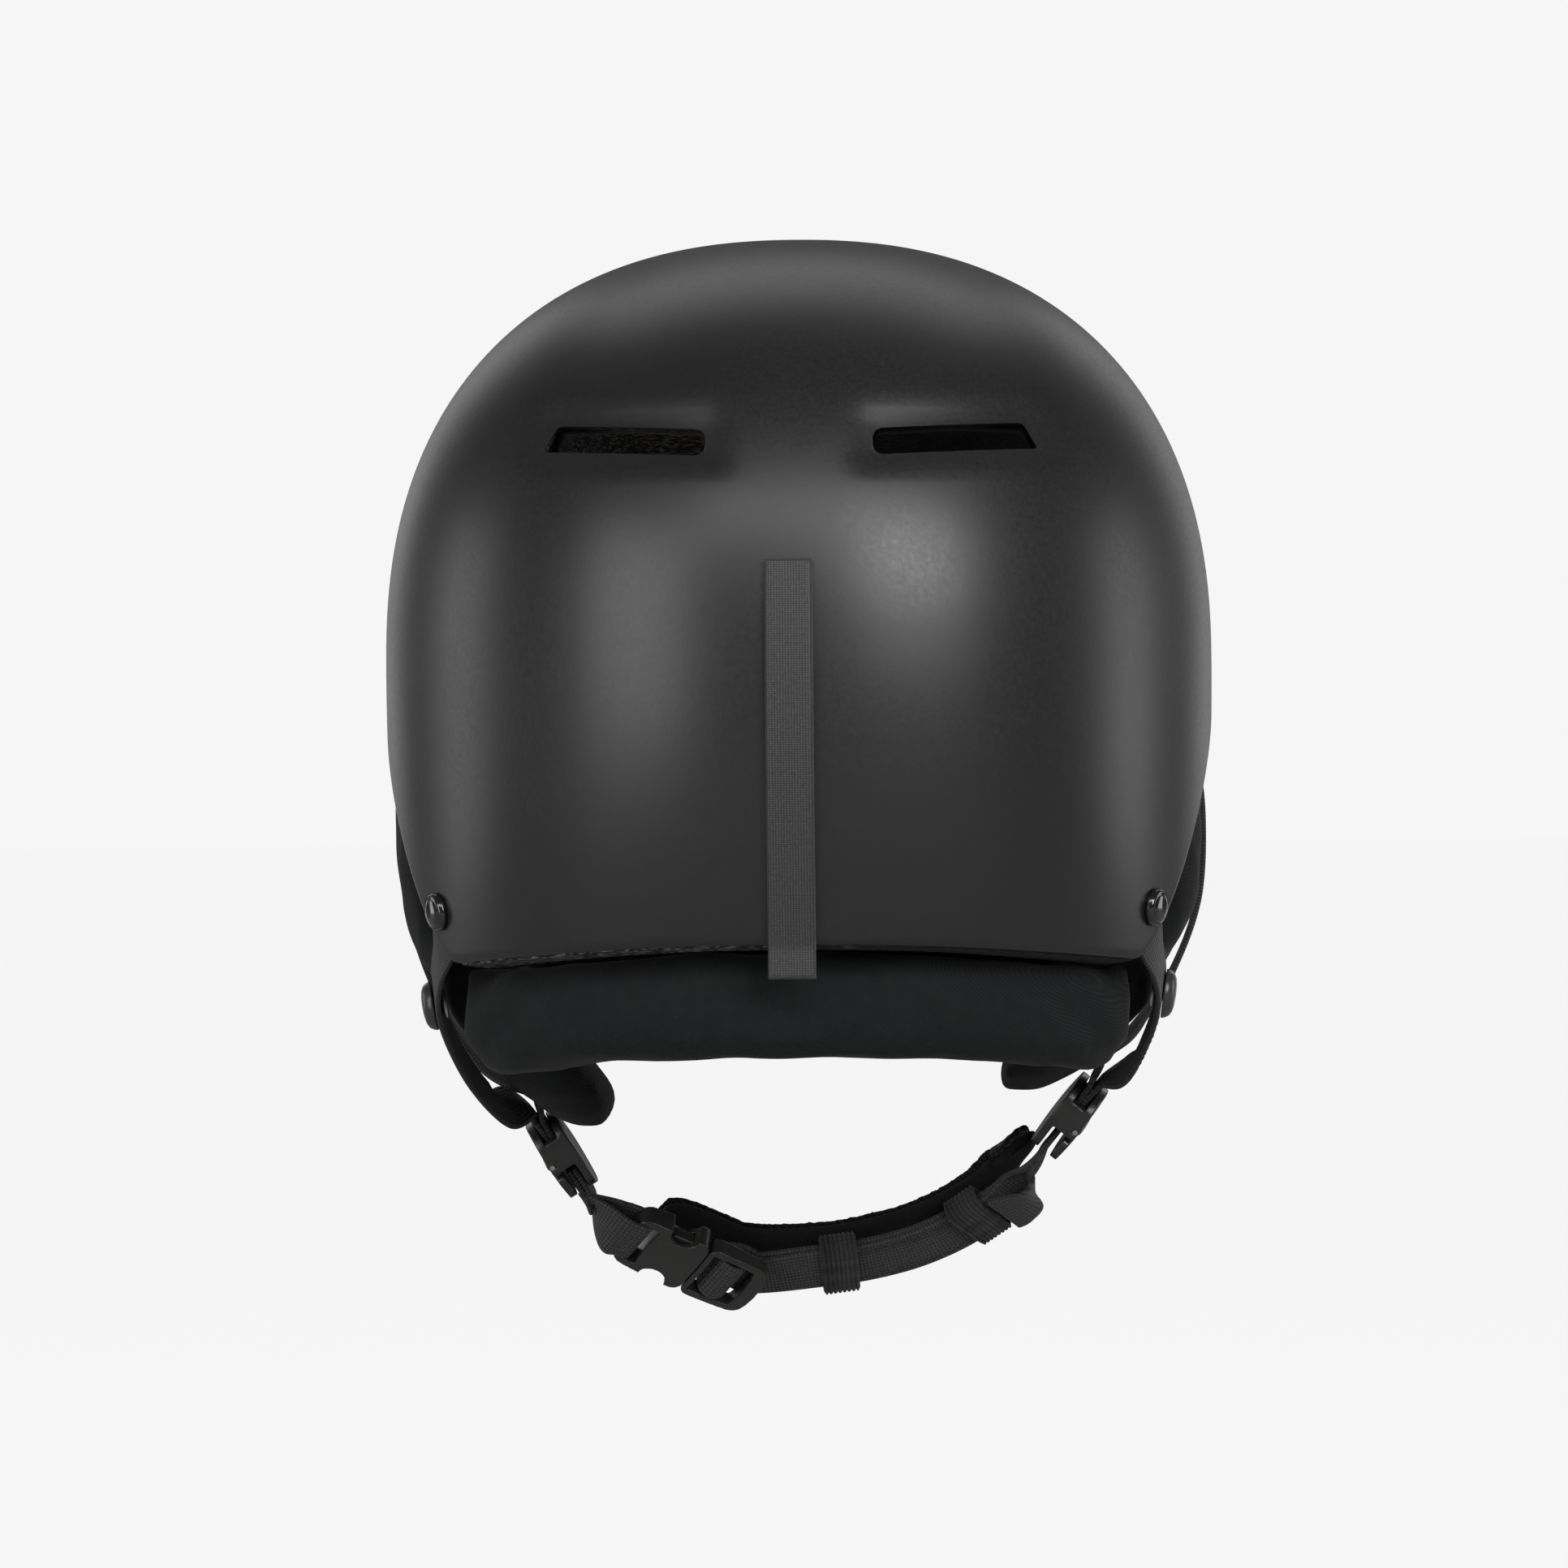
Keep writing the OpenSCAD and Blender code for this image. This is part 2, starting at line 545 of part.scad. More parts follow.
// Goggle strap
module goggle_strap_root() color(black_web) difference() {
    band(goggle_path(goggle_top_z, goggle_hinge_z + flap_gap / 2, 4),
        across([0, 0, 0, 0, 0]), goggle_w, goggle_t);
    on_shell(0, goggle_anchor_z, 0) translate([0, 0, seat_gap - 0.1])
        cylinder(h = stud_h + 0.3, d = stud_d + 2 * hole_gap);
}
module goggle_strap() color(black_web) difference() {
    path = goggle_path(goggle_hinge_z - flap_gap / 2, rim_rear - goggle_tail, goggle_steps);
    band(path, across(path), goggle_w, goggle_t);
    on_shell(0, goggle_snap_z, 0) translate([0, 0, seat_gap - 0.2])
        cylinder(h = stud_h + 0.4, d = socket_d + 2 * hole_gap);
}
module goggle_snap_socket() color("silver") on_shell(0, goggle_snap_z, 0)
    translate([0, 0, seat_gap]) difference() {
        cylinder(h = stud_h, d = socket_d);
        translate([0, 0, -stud_h]) cylinder(h = 3 * stud_h, d = stud_d + 2 * hole_gap);
    }
// Stud through the shell wall, with its head in the strap and its plate inside the shell
module strap_stud(z) on_shell(0, z, 0) {
    translate([0, 0, seat_gap / 2]) cylinder(h = stud_h, d = stud_d);
    translate([0, 0, -shell_wall - plate_gap]) cylinder(h = shell_wall + plate_gap + stud_h, d = shank_d);
    translate([0, 0, -shell_wall - plate_gap - anchor_head_t])
        cylinder(h = anchor_head_t, d = anchor_head_d);
}
module goggle_strap_anchor() color("#202020") strap_stud(goggle_anchor_z);
module goggle_snap_stud() color("silver") strap_stud(goggle_snap_z);

// Side-release buckle: x runs from the end bar of the socket half to that of the plug half
buckle_from = fit([-48.7, 20, -152]);
buckle_dir = unit([34.3, 12, -16.5]);
buckle_wide = square_to([0, 0.71, -0.71], buckle_dir);
buckle_up = cross(buckle_dir, buckle_wide);
buckle_w = web_w + 2 * side_wall;
socket_l = 22;
bar_l = 3.2;
bar_t = 3.6;
slot_l = 3.6;
mouth_h = 4.2;
mouth_w = buckle_w - 2 * 2.5;
mouth_x = 8;
window_r = 4.2;
window_x = 13.5;
arm_root_x = 20;
arm_tip_x = 9.4;
arm_t = 2.4;
arm_h = 3.6;
tongue_w = 4.4;
tongue_tip_x = 10;
plug_slot_1 = 24;
mid_bar_x = 29;
mid_bar_l = 2.6;
end_bar_x = 37;
arm_out = mouth_w / 2 - seat_gap;
function in_buckle(x, z) = buckle_from + buckle_dir * x + buckle_up * z;
module at_buckle() {
    placed(buckle_from, buckle_dir, buckle_wide) children();
}
module buckle_female() color(dark_plastic) at_buckle() difference() {
    slab(0, socket_l, buckle_w, -buckle_t / 2, buckle_t / 2, 3);
    translate([bar_l, -web_w / 2 - 0.5, -buckle_t]) cube([slot_l, web_w + 1, 2 * buckle_t]);
    for (z = [bar_t / 2, -bar_t / 2 - buckle_t]) translate([-bar_l, -web_w / 2 - 0.5, z])
        cube([2 * bar_l + 0.1, web_w + 1, buckle_t]);
    translate([mouth_x, -mouth_w / 2, -mouth_h / 2]) cube([socket_l, mouth_w, mouth_h]);
    for (side = [-1, 1]) translate([window_x, side * buckle_w / 2, -buckle_t])
        cylinder(h = 2 * buckle_t, r = window_r);
}
module buckle_male() color(dark_plastic) at_buckle() difference() {
    union() {
        slab(socket_l + seat_gap, buckle_l, buckle_w, -buckle_t / 2, buckle_t / 2 - 2, 3);
        translate([arm_root_x + seat_gap, -mouth_w / 2 + seat_gap, -arm_h / 2])
            cube([socket_l - arm_root_x + 1, mouth_w - 2 * seat_gap, arm_h]);
        translate([tongue_tip_x, -tongue_w / 2, -arm_h / 2])
            cube([socket_l - tongue_tip_x, tongue_w, arm_h]);
    }
    translate([plug_slot_1, -web_w / 2 - 0.7, -buckle_t])
        cube([mid_bar_x - plug_slot_1, web_w + 1.4, 2 * buckle_t]);
    translate([mid_bar_x + mid_bar_l, -web_w / 2 - 0.7, -buckle_t])
        cube([end_bar_x - mid_bar_x - mid_bar_l, web_w + 1.4, 2 * buckle_t]);
    translate([plug_slot_1, -web_w / 2 - 0.7, -buckle_t])
        cube([end_bar_x - plug_slot_1, web_w + 1.4, buckle_t - 1.4]);
    translate([plug_slot_1, -web_w / 2 - 0.7, 1.4])
        cube([end_bar_x - plug_slot_1, web_w + 1.4, buckle_t]);
}
module buckle_arm() color(dark_plastic) translate([0, 0, -arm_h / 2]) linear_extrude(arm_h) {
    translate([arm_tip_x + arm_t, arm_out - arm_t]) square([arm_root_x - arm_tip_x - arm_t, arm_t]);
    translate([arm_tip_x + arm_t, arm_out - arm_t / 2]) circle(d = arm_t);
}
module buckle_arm_upper() at_buckle() mirror([0, 1, 0]) buckle_arm();
module buckle_arm_lower() at_buckle() buckle_arm();

// Short looped webbing between the left divider and the socket half's end bar
stub_from = 3.5;
exit_lead = 2.5;
bar_wrap = bar_t / 2 + 1.5 * seat_gap + web_t / 2;
stub_pts = concat(
    [for (x = [stub_from, divider_l / 2, divider_l / 2 + exit_lead]) in_divider(0, x, branch_lift)],
    [for (p = [[-3.5, bar_wrap - 0.3], [1, bar_wrap + 0.1], [bar_l + 0.9, bar_wrap - 0.5],
        [bar_l + 2, 0], [bar_l + 0.9, 0.5 - bar_wrap], [1, -bar_wrap - 0.1], [-3.5, 0.3 - bar_wrap]])
        in_buckle(p[0], p[1])],
    [for (x = [divider_l / 2 + exit_lead, divider_l / 2, stub_from]) in_divider(0, x, -branch_lift)]);
stub_wide = concat([for (i = [0 : 2]) divider_wide(0)], [for (i = [0 : 6]) buckle_wide],
    [for (i = [0 : 2]) divider_wide(0)]);
module stub_webbing() color(black_web)
    band(curve(stub_pts, route_steps), curve(stub_wide, route_steps), web_w, web_t);

// Chin webbing: from the right divider round under the chin, round the plug half's
// middle bar and back as the loose tail, which ends in a folded loop
chin_route = fit_all([[58.4, 27.5, -138], [51.2, 32, -145.7], [42, 35, -152], [30, 36.5, -157.4],
    [16, 37, -161], [2, 36, -162.8]]);
chin_twist = [0.6, 0.85, 1, 1, 1, 1];
chin_flat = [0, 0.71, -0.71];
chin_route_wide = [for (k = chin_twist) unit(mix(flip(divider_wide(1)), chin_flat, k))];
tail_back = web_t + seat_gap;
load_lift = 6.2;
tail_lift = load_lift - tail_back - 0.2;
wrap = concat([for (p = [[40, load_lift], [33, load_lift - 0.4], [28.2, 4.2], [26.6, 1], [27.6, -2.2],
    [30.3, -3.4], [33.2, -2], [34.4, 1], [36.4, 3.6], [41, tail_lift]]) in_buckle(p[0], p[1])]);
tail_route = offset_path(reversed(chin_route), reversed(chin_route_wide), -tail_back);
// The tail is folded back on itself past the keeper: steps along it and away from the strap
tail_last = 4;
tail_dir = unit(chin_route[0] - chin_route[2]);
tail_out = cross(-tail_dir, square_to(chin_route_wide[1], tail_dir));
tail_fold = [for (p = [[6, 0.2], [10, 1.2], [12.2, 3.2], [10, 5.2], [5.5, 5], [1, 3.6]])
    tail_route[tail_last] + p[0] * tail_dir + p[1] * tail_out];
right_pts = [for (x = [stub_from - 2, divider_l / 2, divider_l / 2 + exit_lead]) flip(in_divider(1, x, 0))];
chin_pts = concat(right_pts, chin_route, wrap, [for (i = [0 : tail_last]) tail_route[i]], tail_fold);
chin_wide = concat([for (i = [0 : 2]) flip(divider_wide(1))], chin_route_wide,
    [for (p = wrap) buckle_wide], [for (i = [0 : tail_last]) reversed(chin_route_wide)[i]],
    [for (p = tail_fold) chin_route_wide[1]]);
module chin_webbing() color(black_web)
    band(curve(chin_pts, 4), curve(chin_wide, 4), web_w, web_t);

// Chin pad on the inner side of the chin webbing
chin_line = concat([flip(in_divider(1, divider_l / 2 + 2.3 * exit_lead, 0))], chin_route,
    [in_buckle(36, load_lift), in_buckle(22, 5), in_buckle(9, 4.6)]);
chin_line_wide = concat([flip(divider_wide(1))], chin_route_wide, [buckle_wide, buckle_wide, buckle_wide]);
chin_steps = 4;
pad_line = curve(chin_line, chin_steps);
pad_wide = curve(chin_line_wide, chin_steps);
module chin_layer(lift, w, t) {
    path = offset_path(pad_line, pad_wide, -lift);
    n = len(path) - 1;
    loft([for (i = [0 : n]) let (h = heading(path, i), u = square_to(pad_wide[i], h),
        f = fullness(i / n, 0.12)) pad_ring(path[i], u, cross(u, h), w / 2 * f, t / 2 * f)]);
}
keeper_wall = 0.9;
keeper_room = 1.3;
keeper_t = 2 * (web_t + seat_gap / 2 + keeper_room + keeper_wall);
pad_lift = keeper_t / 2 - tail_back / 2 + 5 * seat_gap;
module chin_pad() color(black_cloth)
    chin_layer(pad_lift + chin_pad_t / 2, chin_pad_w, chin_pad_t);
module chin_pad_fleece() color("#0c0c0c")
    chin_layer(pad_lift + chin_pad_t + seat_gap + fleece_t / 2, chin_pad_w - 2, fleece_t);

// Elastic keepers round both plies of the chin webbing
keeper_at = [1, 4];
module keeper(i) {
    p = mix(chin_route[i], chin_route[i + 1], 0.5);
    h = unit(chin_route[i + 1] - chin_route[i]);
    u = square_to(mix(chin_route_wide[i], chin_route_wide[i + 1], 0.5), h);
    placed(p + cross(h, u) * tail_back / 2, h, u) difference() {
        cube([keeper_l, web_w + 2 * (keeper_room + keeper_wall), keeper_t], center = true);
        cube([2 * keeper_l, web_w + 2 * keeper_room, keeper_t - 2 * keeper_wall], center = true);
    }
}
module elastic_keepers() color(black_web) for (i = keeper_at) keeper(i);

outer_shell();
eps_liner();
crown_pad();
brow_pad();
back_pad();
side_pad_left();
side_pad_right();
neck_roll();
ear_pad_left();
ear_pad_right();
goggle_strap_root();
goggle_strap();
goggle_strap_anchor();
goggle_snap_stud();
goggle_snap_socket();
strap_rivets();
rivet_washers();
rear_strap_left();
rear_strap_right();
front_strap_left();
front_strap_right();
ear_snaps();
divider_base_left();
divider_base_right();
divider_flap_left();
divider_flap_right();
divider_pins();
stub_webbing();
buckle_female();
buckle_male();
buckle_arm_upper();
buckle_arm_lower();
chin_webbing();
elastic_keepers();
chin_pad();
chin_pad_fleece();
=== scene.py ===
import math
import bpy
import bmesh
import numpy as np
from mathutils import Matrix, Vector, noise


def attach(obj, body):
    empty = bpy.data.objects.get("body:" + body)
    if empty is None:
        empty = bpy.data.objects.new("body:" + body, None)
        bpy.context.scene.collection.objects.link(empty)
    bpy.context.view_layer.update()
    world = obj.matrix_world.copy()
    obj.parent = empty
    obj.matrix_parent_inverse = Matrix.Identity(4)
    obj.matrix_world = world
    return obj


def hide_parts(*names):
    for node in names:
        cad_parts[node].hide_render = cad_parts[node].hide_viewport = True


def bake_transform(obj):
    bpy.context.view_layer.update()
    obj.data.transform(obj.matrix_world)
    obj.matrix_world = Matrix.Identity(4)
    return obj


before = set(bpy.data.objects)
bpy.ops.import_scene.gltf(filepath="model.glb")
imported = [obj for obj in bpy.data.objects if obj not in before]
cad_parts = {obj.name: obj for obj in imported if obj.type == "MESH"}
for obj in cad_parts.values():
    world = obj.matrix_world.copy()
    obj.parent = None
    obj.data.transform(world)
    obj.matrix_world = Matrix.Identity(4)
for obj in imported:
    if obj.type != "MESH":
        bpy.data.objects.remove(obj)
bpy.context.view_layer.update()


# ---- Studio -------------------------------------------------------------------------------
# The helmet hangs level on a pale ground, seen square from behind with a long lens. Two
# large soft boxes stand over its shoulders, and a broad one lies above it.

def fill(tree, node, inputs):
    """Sets a node's inputs to plain values, or links them to other nodes' sockets."""
    for key, value in inputs.items():
        if isinstance(value, bpy.types.NodeSocket):
            tree.links.new(value, node.inputs[key])
        else:
            node.inputs[key].default_value = value


def put(tree, kind, inputs=None, **settings):
    """Adds a node to a tree, with its settings and its inputs."""
    node = tree.nodes.new(kind)
    for key, value in settings.items():
        setattr(node, key, value)
    fill(tree, node, inputs or {})
    return node


def placed(name, data):
    """An object in the scene that shows this mesh, lamp or camera."""
    thing = bpy.data.objects.new(name, data)
    bpy.context.scene.collection.objects.link(thing)
    return thing


def soft_box(name, place, aim, width, height, watts):
    light = bpy.data.lights.new(name, "AREA")
    light.shape = "RECTANGLE"
    light.size = width
    light.size_y = height
    light.energy = watts
    lamp = placed(name, light)
    lamp.location = place
    lamp.rotation_euler = (Vector(aim) - Vector(place)).to_track_quat("-Z", "Y").to_euler()


PALE = (0.922, 0.922, 0.922, 1)
lens = bpy.data.cameras.new("portrait_lens")
lens.lens = 162.9
lens.sensor_width = 36
lens.clip_end = 50
camera = placed("camera", lens)
aim_point = Vector((-0.00435, 0, -0.0317))
swing, camera_away = math.radians(1.2), 1.9
camera.location = aim_point + camera_away * Vector((math.sin(swing), -math.cos(swing), 0))
camera.rotation_euler = (math.radians(90), 0, swing)
camera.rotation_euler.rotate_axis("Z", math.radians(-0.4))
bpy.context.scene.camera = camera

soft_box("key_right", (0.774, -1.29, 0.5), (0, 0, 0.02), 0.8, 0.6, 15)
soft_box("tall_left", (-1.06, -1.18, 0.2), (0, 0, 0.02), 0.9, 1.1, 11)
soft_box("side_right", (1.4, 0.45, 0.0), (0, 0, 0), 0.5, 0.9, 3.2)
soft_box("side_left", (-1.4, 0.45, 0.0), (0, 0, 0), 0.5, 0.9, 3)
soft_box("wide_high", (0.0, -1.35, 0.85), (0, 0, 0.02), 1.3, 0.35, 7)
soft_box("overhead", (0, 0.85, 1.2), (0, 0, 0.05), 1.4, 0.7, 3)
soft_box("low_left", (-0.6, -1.1, -1.0), (0, 0, -0.1), 1.2, 0.5, 9)
soft_box("low_right", (1.0, -0.9, -0.8), (0, 0, -0.1), 0.6, 0.5, 4)
soft_box("edge_left", (-0.6, 1.2, 0.25), (0, 0, 0), 0.4, 1.2, 1.3)
soft_box("edge_right", (0.6, 1.2, 0.25), (0, 0, 0), 0.4, 1.2, 1.4)

world = bpy.data.worlds.new("pale_room")
world.use_nodes = True
bpy.context.scene.world = world
room = world.node_tree
room.nodes.clear()
rays = put(room, "ShaderNodeLightPath")
dim = put(room, "ShaderNodeBackground", {"Color": PALE, "Strength": 0.09})
bright = put(room, "ShaderNodeBackground", {"Color": PALE, "Strength": 1.0})
seen = put(room, "ShaderNodeMixShader", {0: rays.outputs["Is Camera Ray"], 1: dim.outputs[0],
                                         2: bright.outputs[0]})
put(room, "ShaderNodeOutputWorld", {"Surface": seen.outputs[0]})

ground_x, ground_near, ground_far, ground_z = 12, -12, 30, -0.3
ground_mesh = bpy.data.meshes.new("ground")
ground_mesh.from_pydata([(-ground_x, ground_near, ground_z), (ground_x, ground_near, ground_z),
                         (ground_x, ground_far, ground_z), (-ground_x, ground_far, ground_z)], [],
                        [(0, 1, 2, 3)])
ground = placed("ground", ground_mesh)
paper = bpy.data.materials.new("pale_paper")
paper.use_nodes = True
sheet_tree = paper.node_tree
sheet_tree.nodes.clear()
path = put(sheet_tree, "ShaderNodeLightPath")
matt = put(sheet_tree, "ShaderNodeBsdfDiffuse", {"Color": (0.4, 0.4, 0.4, 1)})
glow = put(sheet_tree, "ShaderNodeEmission", {"Color": PALE, "Strength": 0.985})
shade = put(sheet_tree, "ShaderNodeBsdfDiffuse", {"Color": (0.03, 0.03, 0.03, 1)})
lit = put(sheet_tree, "ShaderNodeAddShader", {0: glow.outputs[0], 1: shade.outputs[0]})
shown = put(sheet_tree, "ShaderNodeMixShader", {0: path.outputs["Is Camera Ray"], 1: matt.outputs[0],
                                                2: lit.outputs[0]})
put(sheet_tree, "ShaderNodeOutputMaterial", {"Surface": shown.outputs[0]})
ground_mesh.materials.append(paper)
bpy.context.scene.view_settings.view_transform = "Standard"


# ---- Hard shell ---------------------------------------------------------------------------
# A thin moulded plastic shell in one piece, satin black, with a rolled cut edge. Four slots
# are pressed into it, each in a soft hollow that is deeper above the slot than below it.

MM = 0.001
shell_w, shell_l, crown_h, skirt_h = 220, 274, 113, 80
shell_wall, foam_wall, skin_gap, rim_round = 2.2, 24, 0.5, 0.9
dome_power, plan_power = 2.34, 2.2
vent_w, vent_h, vent_x, vent_rise, vent_slant = 40, 6.8, 21, 3, 5
vent_levels = {-1: 54, 1: 50}
hollow_deep, hollow_reach = 1.9, 4.2


def power(value, exponent):
    return np.sign(value) * np.abs(value) ** exponent


def smooth(share):
    share = np.clip(share, 0, 1)
    return share * share * (3 - 2 * share)


def mix(low, high, share):
    return low + (high - low) * share


def unit(vector):
    vector = np.asarray(vector, float)
    return vector / np.linalg.norm(vector, axis=-1, keepdims=True)


def rim_z(angle):
    """Height of the cut edge, by the angle round from the rear in degrees."""
    side = (np.asarray(angle, float) + 180) % 360 - 180
    side = np.abs(side)
    rear = -skirt_h + 8 * np.cos(np.radians(np.minimum(side, 90))) ** 2
    ear = smooth(np.clip((side - 54) / 42, 0, 1) ** 0.8)
    brow = smooth((side - 125) / 55)
    return mix(rear, -9, ear) + brow * (9 - 20)


def shell_point(angle, z, inset=0.0):
    """A place on the shell's form in millimetres, set inwards by inset."""
    turn = np.radians(np.asarray(angle, float))
    turn, z, inset = np.broadcast_arrays(turn, np.asarray(z, float), inset)
    below = (np.minimum(z, 0) / skirt_h) ** 2
    dome = np.where(z <= 0, 1.0, np.clip(1 - (np.maximum(z, 0) / (crown_h - inset)) ** dome_power, 0, 1)
                    ** (1 / dome_power))
    rear = np.where(np.cos(turn) > 0, 0.12, 0.03)
    x = (shell_w / 2 - inset) * (1 - 0.035 * below) * dome * power(np.sin(turn), 2 / plan_power)
    y = -(shell_l / 2 - inset) * (1 - rear * below) * dome * power(np.cos(turn), 2 / plan_power)
    return np.stack([x, y, z], -1)


def shell_normal(angle, z, step=1.0):
    across = shell_point(angle + step, z) - shell_point(angle - step, z)
    up = shell_point(angle, z + step) - shell_point(angle, z - step)
    return unit(np.cross(across, up))


def hollow(points):
    """Depth of the soft hollow round each slot, at places on the shell."""
    x, y, z = np.abs(points[..., 0]), points[..., 1], points[..., 2]
    depth = np.zeros_like(x)
    for side, level in vent_levels.items():
        along = x - vent_x
        up = z - level - along * math.tan(math.radians(vent_rise))
        reach = np.hypot(np.maximum(np.maximum(-along, along - vent_w), 0) * 0.8,
                         np.maximum(np.abs(up) - vent_h / 2, 0) * np.where(up > 0, 0.75, 1.6))
        depth += np.where(y * side > 0, hollow_deep * np.exp(-(reach / hollow_reach) ** 2), 0)
    return depth


def shade_smooth(mesh):
    mesh.polygons.foreach_set("use_smooth", [True] * len(mesh.polygons))


def new_piece(name, points, faces, uv=None):
    """A smooth-shaded mesh object from places in millimetres."""
    mesh = bpy.data.meshes.new(name)
    mesh.from_pydata((np.asarray(points, float).reshape(-1, 3) * MM).tolist(), [], faces)
    shade_smooth(mesh)
    if uv is not None:
        layer = mesh.uv_layers.new(name="UVMap")
        corners = np.zeros(len(mesh.loops), np.int32)
        mesh.loops.foreach_get("vertex_index", corners)
        layer.data.foreach_set("uv", np.asarray(uv, float).reshape(-1, 2)[corners].ravel())
    mesh.update()
    return placed(name, mesh)


def grid_faces(rows, columns, wrap=True, start=0):
    faces = []
    for row in range(rows - 1):
        for column in range(columns if wrap else columns - 1):
            after = (column + 1) % columns
            faces.append((start + row * columns + column, start + (row + 1) * columns + column,
                          start + (row + 1) * columns + after, start + row * columns + after))
    return faces


def closed_skin(name, rings, uv=None):
    """Rings of equal count joined to one skin, each end closed on its middle."""
    rings = np.asarray(rings, float)
    rows, columns = rings.shape[:2]
    points = np.concatenate([rings.reshape(-1, 3), rings[0].mean(0)[None], rings[-1].mean(0)[None]])
    faces = grid_faces(rows, columns)
    first, last = rows * columns, rows * columns + 1
    for column in range(columns):
        after = (column + 1) % columns
        faces.append((first, column, after))
        faces.append((last, (rows - 1) * columns + after, (rows - 1) * columns + column))
    if uv is not None:
        uv = np.asarray(uv, float)
        uv = np.concatenate([uv.reshape(-1, 2), uv[0, :1], uv[-1, :1]])
    return new_piece(name, points, faces, uv)


def baked(piece):
    """Turns a piece's live modifiers into its plain mesh."""
    bpy.context.view_layer.update()
    live = piece.evaluated_get(bpy.context.evaluated_depsgraph_get())
    seen_mesh = bpy.data.meshes.new_from_object(live)
    piece.modifiers.clear()
    old = piece.data
    piece.data = seen_mesh
    bpy.data.meshes.remove(old)
    return piece


def outward(piece):
    """Merges doubles and turns every face outwards."""
    shape = bmesh.new()
    shape.from_mesh(piece.data)
    bmesh.ops.remove_doubles(shape, verts=shape.verts, dist=1e-6)
    bmesh.ops.recalc_face_normals(shape, faces=shape.faces)
    shape.to_mesh(piece.data)
    shape.free()
    return piece


def rim_rings(outer, inner, drop, sectors, top_rings, side_rings, sink=None):
    """Rings from the crown down the outside, round the cut edge and up the inside."""
    angle = np.arange(sectors) * 360 / sectors
    rings = []
    for inset, order in ((outer, 1), (inner, -1)):
        part = []
        for k in range(1, top_rings + 1):
            rise = math.sin(math.radians(90 * (1 - k / (top_rings + 1))))
            part.append(((crown_h - inset) * rise ** (2 / dome_power) + 0 * angle, inset))
        for k in range(side_rings + 1):
            part.append((mix(0, rim_z(angle) - drop + rim_round, k / side_rings), inset))
        rings += part[::order]
        if order == 1:
            for fall, share in ((0.35, 0.08), (rim_round, 0.3), (rim_round, 0.7), (0.35, 0.92)):
                rings.append((rim_z(angle) - drop + rim_round - fall, mix(outer, inner, share)))
    result = []
    for height, inset in rings:
        place = shell_point(angle, height, inset)
        if sink is not None:
            place = shell_point(angle, height, inset + sink(place))
        result.append(place)
    return result


def slot_cutters(deep):
    """Four prisms with rounded ends, as tall as a slot, that run through shell and foam."""
    outline = []
    for centre, start, end in (((2.6, 0.8), 90, 180), ((2.6, -0.8), 180, 270),
                               ((vent_w + vent_slant - 4.5, -2.4), 270, 330), ((vent_w - 3.2, 1.2), 20, 90)):
        radius = 2.6 if centre[0] < 10 else (1.0 if centre[1] < 0 else 2.2)
        for k in range(7):
            turn = math.radians(mix(start, end, k / 6))
            outline.append((centre[0] + radius * math.cos(turn), centre[1] + radius * math.sin(turn)))
    tilt = math.radians(vent_rise)
    cutters = []
    for side, level in vent_levels.items():
        for hand in (-1, 1):
            ends = []
            for y in (side * deep, side * (shell_l / 2 + 4)):
                ends.append([(hand * (vent_x + s * math.cos(tilt) - t * math.sin(tilt)), y,
                              level + t * math.cos(tilt) + s * math.sin(tilt)) for s, t in outline])
            cutters.append(outward(closed_skin("slot_cutter", ends)))
    return cutters


def cut_slots(piece, deep):
    cutters = slot_cutters(deep)
    for cutter in cutters:
        cut = piece.modifiers.new("slot", "BOOLEAN")
        cut.operation = "DIFFERENCE"
        cut.object = cutter
        cut.solver = "EXACT"
    baked(piece)
    for cutter in cutters:
        bpy.data.objects.remove(cutter)
    shade_smooth(piece.data)
    piece.data.set_sharp_from_angle(angle=math.radians(38))


def effect_group(name, inputs):
    """A node group with named number inputs, and outputs for a mask and a height."""
    tree = bpy.data.node_groups.new(name, "ShaderNodeTree")
    for way, sockets in (("INPUT", inputs), ("OUTPUT", ("Mask", "Height"))):
        for socket in sockets:
            tree.interface.new_socket(socket, in_out=way, socket_type="NodeSocketFloat")
    return tree, put(tree, "NodeGroupInput")


def new_material(name):
    """A material, its node tree and its Principled shader."""
    material = bpy.data.materials.new(name)
    material.use_nodes = True
    return material, material.node_tree, material.node_tree.nodes["Principled BSDF"]


def speckle_group():
    """Fine moulded grain: an even speckle with a broad, faint mottle under it."""
    tree, given = effect_group("moulded_grain", ("Grain", "Mottle"))
    place = put(tree, "ShaderNodeTexCoord")
    fine = put(tree, "ShaderNodeTexNoise", {"Vector": place.outputs["Object"], "Scale": given.outputs[0],
                                            "Detail": 2.0})
    broad = put(tree, "ShaderNodeTexNoise", {"Vector": place.outputs["Object"], "Scale": given.outputs[1],
                                             "Detail": 3.0})
    both = put(tree, "ShaderNodeMath", {0: fine.outputs["Fac"], 1: broad.outputs["Fac"]},
               operation="MULTIPLY")
    put(tree, "NodeGroupOutput", {"Mask": both.outputs[0], "Height": fine.outputs["Fac"]})
    return tree


moulded_grain = speckle_group()


